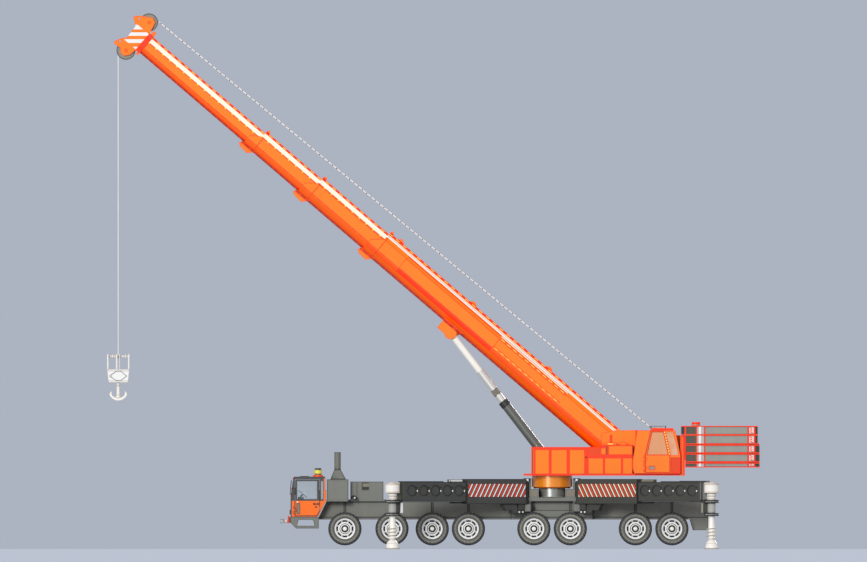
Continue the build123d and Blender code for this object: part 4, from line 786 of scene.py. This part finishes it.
def treadBlock(mesh, plan, turn, sign):
    # one block of the tread, which reaches from the middle over the shoulder
    radius = plan["radius"]
    root = plan["tread"] - 0.012
    share = 2 * math.pi / plan["blocks"] * plan["blockShare"]
    rows = (
        (-1, root, 0.008), (1, root, 0.008), (1, root, 0.17), (-1, root, 0.17),
        (-0.8, radius, 0.015), (0.8, radius, 0.015),
        (0.8, radius - 0.004, 0.185), (-0.8, radius - 0.004, 0.185),
        (1, root - 0.05, 0.2222), (-1, root - 0.05, 0.2222),
        (0.75, radius - 0.045, 0.2222), (-0.75, radius - 0.045, 0.2222),
    )
    corners = []
    for side, reach, height in rows:
        lead = plan["blockLead"] * share * (1 if height > 0.1 else -1)
        corners.append(polar(reach, turn + side * share + lead, sign * height))
    addFaces(mesh, corners, [(4, 5, 6, 7), (0, 1, 5, 4), (1, 2, 6, 5), (3, 0, 4, 7), (7, 6, 10, 11),
                             (6, 2, 8, 10), (3, 7, 11, 9), (11, 10, 8, 9)], 0)


def wheelMesh(plan):
    # local Z points outboard; slots: tread, side wall, white, black, cream, light rib (a painted highlight
    # ring)
    mesh = bmesh.new()
    placed = Matrix.Identity(4)
    half = plan["halfWidth"]
    tread = plan["tread"]
    # the side wall's slot 5 bands are lighter grey, a painted highlight ring
    tyreAndRim = [
        (-0.20, 0.43, 1), (-0.20, 0.50, 1), (-half, 0.56, 1), (-half, 0.63, 1), (-0.205, 0.69, 0),
        (-0.19, tread, 0), (0.19, tread, 0), (0.203, 0.69, 0), (half - 0.010, 0.660, 1),
        (half - 0.006, 0.645, 1), (half - 0.001, 0.62, 5), (half, 0.607, 5), (half - 0.004, 0.590, 1),
        (half, 0.565, 5), (half, 0.555, 1), (half - 0.004, 0.525, 1), (0.208, 0.49, 3),
        (0.195, 0.470, 2), (0.200, 0.466, 2), (0.178, 0.425, 2), (0.165, 0.395, 2), (0.130, 0.384, 3),
        (0.105, 0.381, 3),
    ]
    hub = [
        (0.105, 0.311, 2), (0.124, 0.308, 2), (0.130, 0.240, 3), (0.118, 0.237, 3), (0.118, 0.212, 2),
        (0.150, 0.208, 2), (0.154, 0.168, 3), (0.125, 0.164, 3), (0.125, 0.10, 3), (0.135, 0.098, 4),
        (0.172, 0.086, 4), (0.184, 0.06, 4), (0.186, 0.0, 4),
    ]
    holeFloor = [(0.105, 0.311, 3), (0.06, 0.31, 3), (0.06, 0.381, 3), (0.105, 0.381, 3)]
    back = [(0.02, 0.0, 3), (0.02, 0.43, 3), (-0.20, 0.43, 3)]
    for profile in (tyreAndRim, hub, holeFloor, back):
        addLathe(mesh, profile, placed, plan["segments"])
    low, high, share = plan["hole"]
    boltCircle, boltRadius = plan["bolt"]
    for k in range(plan["holes"]):
        # a spoke between two hand holes, with a dark bolt on it
        turn = 2 * math.pi * (k + 0.5) / plan["holes"]
        outline = [polar(low, turn - share), polar(high, turn - share), polar(high, turn + share),
                   polar(low, turn + share)]
        addPrism(mesh, outline, (0.062, 0.118), placed, 2)
        addPrism(mesh, hexagon(*polar(boltCircle, turn), boltRadius), (0.118, 0.130), placed, 3)
    for k in range(plan["nuts"]):
        centre = polar(plan["nutCircle"], 2 * math.pi * k / plan["nuts"])
        addPrism(mesh, hexagon(*centre, plan["nutRadius"]), (0.12, 0.15), placed, 4)
    low, high, wide = plan["rib"]
    for k in range(plan["ribs"]):
        # moulded ribs round the side wall, in lighter grey as a painted highlight ring
        across = Matrix.Rotation(2 * math.pi * k / plan["ribs"], 4, "Z")
        addBox(mesh, (low, -wide, half - 0.012), (high, wide, half - 0.0005), 5, across, 0.003)
    for k in range(plan["blocks"]):
        for sign, shift in ((1, plan["blockShift"]), (-1, 0.0)):
            treadBlock(mesh, plan, 2 * math.pi * (k + shift) / plan["blocks"], sign)
    materials = [
        coated("tyreTread", "tyre", finish="rubber"), coated("tyreWall", "sidewall", finish="rubber"),
        coated("rimWhite", "white", finish="gloss"), coated("rimBlack", "black"),
        coated("hubCream", "offWhite", finish="gloss"), coated("tyreRibHighlight", "rimGrey", finish="rubber"),
    ]
    return meshData("wheelShape", mesh, materials, 30)


wheelShape = wheelMesh(wheelPlan)
for nodeName in [n for n in cadNodes if n.startswith("wheel_")]:
    outboard = 1 if "left" in nodeName else -1
    placed = Matrix.Translation(joints[nodeName + "_spin"]["pos_m"]) @ facing(outboard)
    wheel = placePiece("look_" + nodeName, wheelShape, nodeName, placed)
    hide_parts(nodeName)
print("wheels done")


# ---- outrigger jacks
jackPlan = dict(
    leg=0.139, legTop=2.05, coilInner=0.13, coilOuter=0.249, coilTurns=4, coilLow=0.425, coilHigh=1.045,
    coilThick=0.034, coilSteps=28, coilTip=0.006, taper=8, segments=40,
)


def jackMesh(plan):
    mesh = bmesh.new()
    placed = Matrix.Identity(4)
    foot = [
        (0.0, 0.0, 1), (0.0, 0.318, 1), (0.02, 0.333, 1), (0.052, 0.320, 0), (0.060, 0.292, 0),
        (0.240, 0.272, 1), (0.256, 0.264, 0), (0.388, 0.163, 1), (0.400, 0.150, 0),
        (0.42, plan["leg"], 0), (plan["legTop"], plan["leg"], 0), (plan["legTop"], 0.0, 0),
    ]
    addLathe(mesh, foot, placed, plan["segments"])
    inner, thick = plan["coilInner"], plan["coilThick"]
    steps = plan["coilTurns"] * plan["coilSteps"]
    rings = []
    for k in range(steps + 1):
        share = k / steps
        turn = 2 * math.pi * plan["coilTurns"] * share
        height = plan["coilLow"] + share * (plan["coilHigh"] - plan["coilLow"])
        ends = min(1.0, plan["taper"] * share, plan["taper"] * (1 - share))
        outer = plan["leg"] + (plan["coilOuter"] - plan["leg"]) * max(ends, 0.05)
        tip = outer + plan["coilTip"] * ends
        section = ((inner, 0.6), (outer, 0.35), (tip, 0.0), (outer, -0.35), (inner, -0.6))
        rings.append([mesh.verts.new(polar(radius, turn, height + rise * thick)) for radius, rise in section])
    for lower, upper in zip(rings, rings[1:]):
        for i in range(4):
            mesh.faces.new([lower[i], lower[i + 1], upper[i + 1], upper[i]]).material_index = i in (1, 2)
    for ring in (rings[0], rings[-1]):
        mesh.faces.new(ring).material_index = 1
    materials = [coated("jackWhite", "offWhite", finish="gloss"), coated("coilBeige", "lineBeige")]
    return meshData("jackShape", mesh, materials, 40)


jackShape = jackMesh(jackPlan)
for end, side in armCorners:
    nodeName = f"outrigger_jack_{end}_{side}"
    foot = middleOf(nodeName)
    foot.z = 0.0
    jack = placePiece("look_" + nodeName, jackShape, nodeName, Matrix.Translation(foot))
    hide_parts(nodeName)
print("jacks done")


# ---- outrigger arms: warning stripes
armPlan = dict(
    panel=(0.17, 3.205, 2.345, 2.93), half=0.2445, pitch=0.238, whiteWidth=0.068, redWidth=0.052, slant=0.543,
    thick=0.002,
)


def clipStripe(panel, bottomStart, width, slant):
    # a slanting stripe cut off at the panel's ends
    left, right, low, high = panel
    shift = slant * (high - low)
    points = [(bottomStart, low), (bottomStart + width, low), (bottomStart + width - shift, high),
              (bottomStart - shift, high)]
    for limit, sign in ((left, 1), (right, -1)):
        kept = []
        for first, second in zip(points, points[1:] + points[:1]):
            insideFirst = sign * (first[0] - limit) >= 0
            insideSecond = sign * (second[0] - limit) >= 0
            if insideFirst:
                kept.append(first)
            if insideFirst != insideSecond:
                share = (limit - first[0]) / (second[0] - first[0])
                kept.append((limit, first[1] + share * (second[1] - first[1])))
        points = kept
        if len(points) < 3:
            return []
    return points


def armFrame(end, side):
    # placement with local X out along the arm and local Y up, under the arm's hinge
    hinge = Vector(joints[f"outrigger_arm_{end}_{side}_swing"]["pos_m"])
    jack = middleOf(f"outrigger_jack_{end}_{side}")
    along = Vector((jack.x - hinge.x, jack.y - hinge.y, 0))
    return axes((hinge.x, hinge.y, 0), along, (0, 0, 1))


stripeRed = coated("stripeRed", "edgeRed", finish="gloss")
stripeMaterials = {
    "front": [coated("stripeWhite", "white", finish="gloss"), stripeRed],
    "rear": [coated("stripeCream", "rearCream", finish="gloss"), stripeRed],
}


def makeStripes(end, side, plan):
    mesh = bmesh.new()
    placed = armFrame(end, side)
    left, right, low, high = plan["panel"]
    start = left
    while start < right + plan["slant"] * (high - low):
        for offset, width, slot in ((0.0, plan["whiteWidth"], 0), (plan["pitch"] / 2, plan["redWidth"], 1)):
            points = clipStripe(plan["panel"], start + offset, width, plan["slant"])
            if not points:
                continue
            for stand in (plan["half"], -plan["half"]):
                addPrism(mesh, points, (stand - plan["thick"], stand + plan["thick"]), placed, slot)
        start += plan["pitch"]
    data = meshData(f"stripes_{end}_{side}", mesh, stripeMaterials[end])
    placePiece(f"arm_stripes_{end}_{side}", data, f"outrigger_arm_{end}_{side}")


for end, side in armCorners:
    makeStripes(end, side, armPlan)
print("arm stripes done")


# ---- small parts share a few finishes
trimPlan = {                    # colour, edge line, its width, finish
    "red": ("edgeRed", None, 0.03, "gloss"),
    "white": ("white", None, 0.03, "gloss"),
    "cream": ("cream", None, 0.03, "gloss"),
    "beige": ("lineBeige",),
    "dark": ("lineDark",),
    "black": ("black",),
    "grey": ("rimGrey", "lineGrey", 0.02, "satin"),
    "olive": ("olive", "lineGrey", 0.04, "satin"),
    "steel": ("steel", None, 0.03, "polish"),
    "lamp": ("yellow", None, 0.03, "gloss"),
    "rope": ("offWhite", None, 0.03, "flat"),
    # lighter orange paint is painted light on the skirt
    "skirt": ("litSkirtOrange", None, 0.03, "lacquer"),
}
trim = {name: coated("trim" + name.capitalize(), *row) for name, row in trimPlan.items()}


def crane(x, y, z):
    return Vector((slewX + x, y, z))


def craneBox(mesh, x, y, z, slot=0, bevel=0.0):
    # block between limits counted from the slewing axis
    addBox(mesh, crane(x[0], y[0], z[0]), crane(x[1], y[1], z[1]), slot, None, bevel)


def crossAxis(x, y, z, turn=1):
    # placement whose local Z points out across the crane
    return Matrix.Translation(crane(x, y, z)) @ facing(turn)


def addDisc(mesh, place, radius, depth, slot=0, segments=24):
    # short round with a broken edge, standing on its base
    rim = min(radius, depth) * 0.15
    rows = ((0.0, 0.0), (0.0, radius), (depth - rim, radius), (depth, radius - rim), (depth, 0.0))
    addLathe(mesh, [(*row, slot) for row in rows], place, segments)


def finishPiece(name, mesh, finishes, body, angle=35):
    return placePiece(name, meshData(name, mesh, [trim[f] for f in finishes], angle), body)


# ---- outrigger arm fittings
fittingPlan = dict(
    beamHalf=0.17, holeFirst=6.132, holePitch=0.625, holes=5, dotShift=0.262, dotWide=0.026, dotThick=0.012,
    # at each opening a cream dot is a painted glint and a black dot above it is painted shade
    glintAndShadeDots=((2.614, 0.042, 0), (2.770, 0.030, 1)),                # height, half height, slot
    boxes=(((6.575, 6.70), (1.62, 2.08), 0.095, 2), ((3.30, 3.93), (2.05, 2.12), 0.20, 3)),
    lugPins=((0.251, 1.665), (0.436, 1.665)), lugHalf=0.137, pin=(0.04, 0.02),
)


def makeArmFittings(end, side, plan):
    mesh = bmesh.new()
    placed = armFrame(end, side)
    shift = -plan["dotShift"] if end == "front" else plan["dotShift"]
    oval = [polar(1.0, math.pi * i / 6) for i in range(12)]
    for k in range(plan["holes"]):
        along = plan["holeFirst"] - k * plan["holePitch"] + shift
        for stand in (plan["beamHalf"], -plan["beamHalf"]):
            # painted glint and painted shade dots at each opening
            for height, tall, slot in plan["glintAndShadeDots"]:
                outline = [(along + plan["dotWide"] * a, height + tall * b) for a, b in oval]
                addPrism(mesh, outline, (stand - plan["dotThick"], stand + plan["dotThick"]), placed, slot)
    for along, height, half, slot in plan["boxes"]:
        addBox(mesh, (along[0], height[0], -half), (along[1], height[1], half), slot, placed, 0.01)
    for along, height in plan["lugPins"]:
        for face, flip in ((1, 0.0), (-1, math.pi)):
            place = placed @ Matrix.Translation((along, height, face * plan["lugHalf"]))
            addDisc(mesh, place @ Matrix.Rotation(flip, 4, "X"), *plan["pin"], 4)
    finishPiece(f"arm_fittings_{end}_{side}", mesh,
                ("cream", "black", "white" if end == "front" else "grey", "black", "white"),
                f"outrigger_arm_{end}_{side}")


for end, side in armCorners:
    makeArmFittings(end, side, fittingPlan)
print("arm fittings done")


# ---- turntable: glossy skirt, bolt row, ring face, ends of the hinge pins
turntablePlan = dict(
    segments=96, skirt=(2.796, 3.288, 0.9155), ring=(2.36, 2.742, 0.58, 0.606),
    bolts=40, boltCircle=0.80, boltRadius=0.024, boltZ=(2.722, 2.80),
    pins=((1.113, 1.19, 3.106), (-1.113, 1.19, 3.106)), pin=(0.05, 0.075),
)


def makeTurntable(plan):
    low, high, radius = plan["skirt"]
    axis = Matrix.Translation((slewX, 0, 0))
    skirt = bmesh.new()
    addLathe(skirt, [(low, radius, 0), (high, radius, 0), (high, radius - 0.01, 0)], axis, plan["segments"])
    # the skirt's lighter orange is painted light against the house's shadow
    finishPiece("turntable_skirt", skirt, ("skirt",), "superstructure")
    bolts = bmesh.new()
    for k in range(plan["bolts"]):
        place = axis @ Matrix.Rotation(2 * math.pi * k / plan["bolts"], 4, "Z")
        place = place @ Matrix.Translation((plan["boltCircle"], 0, 0))
        addPrism(bolts, hexagon(0, 0, plan["boltRadius"]), plan["boltZ"], place, 0)
    finishPiece("turntable_bolts", bolts, ("black",), "superstructure")
    low, high, inner, outer = plan["ring"]
    profile = [(low, inner, 0), (low, outer, 0), (high, outer, 0), (high, inner, 0)]
    ring = bmesh.new()
    addLathe(ring, profile, axis, plan["segments"])
    finishPiece("ring_face", ring, ("steel",), "carrier")
    pins = bmesh.new()
    for x, y, z in plan["pins"]:
        for turn in (1, -1):
            addDisc(pins, crossAxis(x, turn * y, z, turn), *plan["pin"])
    finishPiece("hinge_pin_ends", pins, ("white",), "carrier")


makeTurntable(turntablePlan)


# ---- plates and blocks that close the pedestal's sides
pedestalPlan = dict(
    gusset=((0.985, 2.70), (1.165, 2.70), (1.165, 3.13), (1.11, 3.13), (0.985, 2.86)), thick=0.06,
    gussetY=(-0.86, -0.03, 0.80), block=((0.985, 1.165), (-0.86, 0.86), (2.335, 2.70)),
)


def makePedestalPlates(plan):
    mesh = bmesh.new()
    along, across, height = plan["block"]
    for ahead in (1, -1):
        outline = [(slewX + ahead * x, z) for x, z in plan["gusset"]][::ahead]
        for y in plan["gussetY"]:
            addPrism(mesh, outline, (-y - plan["thick"], -y), sideView, 0)
        craneBox(mesh, acrossSpan(ahead, *along), across, height, 1, 0.01)
    finishPiece("pedestal_gussets", mesh, ("grey", "dark"), "carrier")


makePedestalPlates(pedestalPlan)
print("turntable done")


# ---- superstructure: strips that close the side boxes and the notch by the cab
housePlan = dict(
    strips=(                    # along, across on each side, up, bevel
        ((-1.602, -1.474), (1.02, 1.30), (4.108, 4.59), 0.006),
        ((-2.20, -1.60), (1.02, 1.30), (4.548, 4.592), 0.006),
        ((0.905, 0.93), (1.24, 1.30), (3.39, 4.58), 0.004),
    ),
    slit=((-3.86, -3.76), (0.525, 0.60), (4.9, 5.352)),
)


def makeHouseStrips(plan):
    mesh = bmesh.new()
    for turn in (1, -1):
        for along, across, height, bevel in plan["strips"]:
            craneBox(mesh, along, acrossSpan(turn, *across), height, 0, bevel)
    craneBox(mesh, *plan["slit"], 0, 0.006)
    finishPiece("house_strips", mesh, ("red",), "superstructure")


makeHouseStrips(housePlan)
print("superstructure strips done")


# ---- operator's cab: visors, lever, dial, seat, dashes on the pillar
operatorPlan = dict(
    visors=((-4.99, -4.52), (-5.44, -5.16)), visorY=(1.41, 1.43), visorZ=(5.06, 5.25),
    lever=((-4.90, 4.25), (-4.82, 4.755), (-4.70, 5.26)), leverY=1.36, leverRadius=0.035,
    dial=(-5.04, 1.34, 4.62), dialSize=(0.12, 0.05),
    seat=((-4.36, 4.23), (-4.34, 4.50), (-4.44, 4.70), (-4.54, 4.62), (-4.60, 4.23)), seatY=(-1.33, -1.28),
    pillar=((-5.053, 5.30), (-5.298, 4.226)), pillarY=1.5,
    dashes=9, dash=(0.065, 0.025), dashAcross=(0.974, 0, -0.222),
)


def makeOperatorFittings(plan):
    mesh = bmesh.new()
    for along in plan["visors"]:
        craneBox(mesh, along, plan["visorY"], plan["visorZ"], 0, 0.004)
    addTube(mesh, [crane(x, plan["leverY"], z) for x, z in plan["lever"]], plan["leverRadius"], 8, 0)
    addDisc(mesh, crossAxis(*plan["dial"]), *plan["dialSize"])
    addPrism(mesh, [(slewX + x, z) for x, z in plan["seat"]], plan["seatY"], sideView, 1)
    finishPiece("operator_fittings", mesh, ("grey", "olive"), "superstructure")
    # warning dashes down the pillar behind the door
    dashes = bmesh.new()
    (x0, z0), (x1, z1) = plan["pillar"]
    down = Vector((x1 - x0, 0, z1 - z0))
    long, half = plan["dash"]
    for k in range(plan["dashes"]):
        start = crane(x0, plan["pillarY"], z0) + down * (k + 0.2) / plan["dashes"]
        addBox(dashes, (0, -half, -0.002), (long, half, 0.004), 0, axes(start, down, plan["dashAcross"]))
    finishPiece("pillar_dashes", dashes, ("lamp",), "superstructure")


makeOperatorFittings(operatorPlan)
print("operator's cab done")


# ---- driver's cab: handles, lock and lamp on the doors, lamps on the pillar, wipers
driverPlan = dict(
    face=1.352, handle=((10.50, 10.74), (2.005, 2.045), 0.03),
    discs=(                     # along, up, radius, depth, slot
        (10.531, 2.029, 0.042, 0.035, 0), (10.709, 2.029, 0.042, 0.035, 0), (10.620, 1.892, 0.040, 0.018, 0),
        (11.456, 2.110, 0.034, 0.02, 1),
    ),
    lamps=((11.640, 3.17), (11.70, 2.72), (11.735, 2.46)), lampY=1.30, lamp=(0.036, 0.05),
    wipers=(-0.75, 0.05, 0.80),
    wiperBars=(                 # radius, points
        (0.012, ((11.785, 0.0, 2.44), (11.76, -0.12, 2.75), (11.735, -0.16, 3.0))),
        (0.016, ((11.775, -0.30, 2.62), (11.73, -0.06, 3.08))),
    ),
)


def makeDriverFittings(plan):
    face = plan["face"]
    along, height, stand = plan["handle"]
    for turn, side in ((1, "left"), (-1, "right")):
        mesh = bmesh.new()
        craneBox(mesh, along, acrossSpan(turn, face, face + stand), height, 0, 0.006)
        for x, z, radius, depth, slot in plan["discs"]:
            addDisc(mesh, crossAxis(x, turn * face, z, turn), radius, depth, slot)
        finishPiece(f"door_handle_{side}", mesh, ("dark", "white"), f"driver_door_{side}")
    lamps = bmesh.new()
    for turn in (1, -1):
        for x, z in plan["lamps"]:
            addDisc(lamps, crossAxis(x, turn * plan["lampY"], z, turn), *plan["lamp"])
    finishPiece("pillar_lamps", lamps, ("red",), "carrier")
    wipers = bmesh.new()
    for middle in plan["wipers"]:
        for radius, points in plan["wiperBars"]:
            addTube(wipers, [crane(x, middle + y, z) for x, y, z in points], radius, 6, 0)
    finishPiece("windscreen_wipers", wipers, ("black",), "carrier")


makeDriverFittings(driverPlan)
print("driver's cab done")


# ---- carrier deck: fuel cap, with a white disc on its side as a painted highlight
deckPlan = dict(
    cap=(8.918, 1.10, 2.242), capHighlight=(8.878, 1.24, 2.302), capHighlightSize=(0.035, 0.02),
    capRows=((0.0, 0.0), (0.0, 0.135), (0.07, 0.135), (0.12, 0.10), (0.172, 0.03), (0.172, 0.0)),
)


def makeDeckFittings(plan):
    mesh = bmesh.new()
    addLathe(mesh, [(*row, 0) for row in plan["capRows"]], Matrix.Translation(crane(*plan["cap"])), 24)
    # white disc on the cap's side is a painted highlight
    addDisc(mesh, crossAxis(*plan["capHighlight"]), *plan["capHighlightSize"], 1)
    finishPiece("fuel_cap", mesh, ("dark", "white"), "carrier")


makeDeckFittings(deckPlan)
print("deck done")


# ---- counterweight: spacers between the slabs, dark slots, warning marks; guard over the winch
ballastPlan = dict(
    gaps=((3.843, 3.947), (4.248, 4.352), (4.649, 4.752)), along=(-9.33, -6.0), half=1.468,
    slots=((-6.75, -6.0), (-9.32, -8.86)), slotHalf=0.016,
    rows=((3.73, 3.84), (3.97, 4.24), (4.37, 4.64), (4.77, 5.09), (5.19, 5.49)), rowInset=0.02,
    marks=(-9.075, -8.875), face=1.4815, wedges=3,
)
guardPlan = (                   # along, across, up, slot, bevel
    ((-5.09, -4.47), (-0.44, 0.44), (5.512, 5.535), 0, 0.004),
    ((-5.13, -5.09), (-0.46, 0.46), (5.40, 5.54), 1, 0.006),
    ((-4.47, -4.43), (-0.46, 0.46), (5.40, 5.54), 1, 0.006),
)


def addMark(mesh, plan, low, high, turn):
    # red wedges across a white field
    left, right = plan["marks"]
    face = plan["face"]
    craneBox(mesh, (left, right), acrossSpan(turn, face - 0.01, face + 0.002), (low, high), 2, 0.0)
    step = (high - low) / plan["wedges"]
    for k in range(plan["wedges"]):
        base = low + k * step
        outline = ((left, base), (left + 0.09, base), (right, base + step * 0.8), (right - 0.07, base + step))
        stand = -turn * (face + 0.004)
        addPrism(mesh, [(slewX + x, z) for x, z in outline], (stand - 0.001, stand + 0.001), sideView, 0)


def makeBallastTrim(plan):
    mesh = bmesh.new()
    half = plan["half"]
    for low, high in plan["gaps"]:
        craneBox(mesh, plan["along"], (-half, half), (low - 0.002, high + 0.002), 0, 0.0)
        middle = (low + high) / 2
        upright = (middle - plan["slotHalf"], middle + plan["slotHalf"])
        for slot in plan["slots"]:
            for turn in (1, -1):
                craneBox(mesh, slot, acrossSpan(turn, half - 0.02, half + 0.006), upright, 1, 0.002)
    for low, high in plan["rows"]:
        for turn in (1, -1):
            addMark(mesh, plan, low + plan["rowInset"], high - plan["rowInset"], turn)
    finishPiece("ballast_trim", mesh, ("red", "black", "white"), "superstructure")


def makeWinchGuard(plan):
    mesh = bmesh.new()
    for along, across, height, slot, bevel in plan:
        craneBox(mesh, along, across, height, slot, bevel)
    finishPiece("winch_guard", mesh, ("grey", "dark"), "superstructure")


makeBallastTrim(ballastPlan)
makeWinchGuard(guardPlan)
print("counterweight done")


# ---- rope falls, and the hook block's eye-shaped weld line with its bolt on both faces
def stretchPiece(name, mesh, material):
    # rope piece baked into place, riding on no body
    rope = linked(name, meshData(name, mesh, [material]))
    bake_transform(rope)
    return rope


def makeFalls(sides):
    low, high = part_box("rope_falls")
    radius = (high.x - low.x) / 2
    x = low.x + radius
    mesh = bmesh.new()
    for y in (low.y + radius, high.y - radius):
        addTube(mesh, [Vector((x, y, high.z)), Vector((x, y, low.z))], radius, sides, 0)
    falls = stretchPiece("falls", mesh, trim["rope"])
    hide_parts("rope_falls")


eyePlan = dict(
    outline=((19.917, 7.786), (19.607, 8.003), (19.412, 8.003), (19.137, 7.786), (19.412, 7.580),
             (19.607, 7.580)),
    face=0.2405, wire=0.011, bolt=(19.872, 7.786), boltSize=(0.042, 0.02),
)


def makeBlockEye(plan):
    mesh = bmesh.new()
    x, z = plan["bolt"]
    for turn in (1, -1):
        stand = turn * plan["face"]
        points = [crane(along, stand, height) for along, height in plan["outline"]]
        for start, end in zip(points, points[1:] + points[:1]):
            addTube(mesh, [start, end], plan["wire"], 6, 0)
        addDisc(mesh, crossAxis(x, stand, z, turn), *plan["boltSize"], 1)
    finishPiece("block_eye", mesh, ("grey", "beige"), "hook_block")


makeFalls(12)
makeBlockEye(eyePlan)
print("falls and hook block done")


# ---- hoist rope from the upper sheave down to the winch
ropePlan = dict(
    radius=0.025, sides=8, offDrum=0.116, drumCore=0.31, onSheave=0.30, cuts=(0.0, 0.45, 0.60, 0.75, 1.0),
    bodies=("superstructure", "boom_base", "boom_section_2", "boom_section_3", "boom_section_4"),
    markPitch=0.25, markLength=0.045,
)


def outerTangent(first, firstRadius, second, secondRadius):
    # the straight line that runs over the top of both rounds, side view
    across = Vector((second.x - first.x, second.z - first.z))
    turn = math.asin((firstRadius - secondRadius) / across.length)
    heading = math.atan2(across.y, across.x)
    lift = Vector((-math.sin(heading + turn), 0, math.cos(heading + turn)))
    if lift.z < 0:
        lift = Vector((math.sin(heading - turn), 0, -math.cos(heading - turn)))
    return first + lift * firstRadius, second + lift * secondRadius


def makeHoistRope(plan):
    sheave = middleOf("head_sheaves_upper")
    winch = middleOf("winch_drum")
    winch.y = sheave.y = 0.0
    low, high = outerTangent(winch, plan["offDrum"], sheave, plan["onSheave"])
    heading = (high - low).normalized()
    low += heading * math.sqrt(plan["drumCore"] ** 2 - plan["offDrum"] ** 2)
    lengthwise = dict(axis=tuple(heading), origin=tuple(low), repeat=plan["markPitch"])
    marks = dict(colour="charcoal", limits=[dict(lengthwise, low=0.0, high=plan["markLength"])])
    wire = coated("hoistWire", "offWhite", finish="flat", zones=[marks])
    cuts = [low.lerp(high, share) for share in plan["cuts"]]
    for k, (start, end) in enumerate(zip(cuts, cuts[1:])):
        mesh = bmesh.new()
        addTube(mesh, [start, end], plan["radius"], plan["sides"], 0)
        stretchPiece(f"hoist_rope_{k + 1}", mesh, wire)


makeHoistRope(ropePlan)
print("hoist rope done")
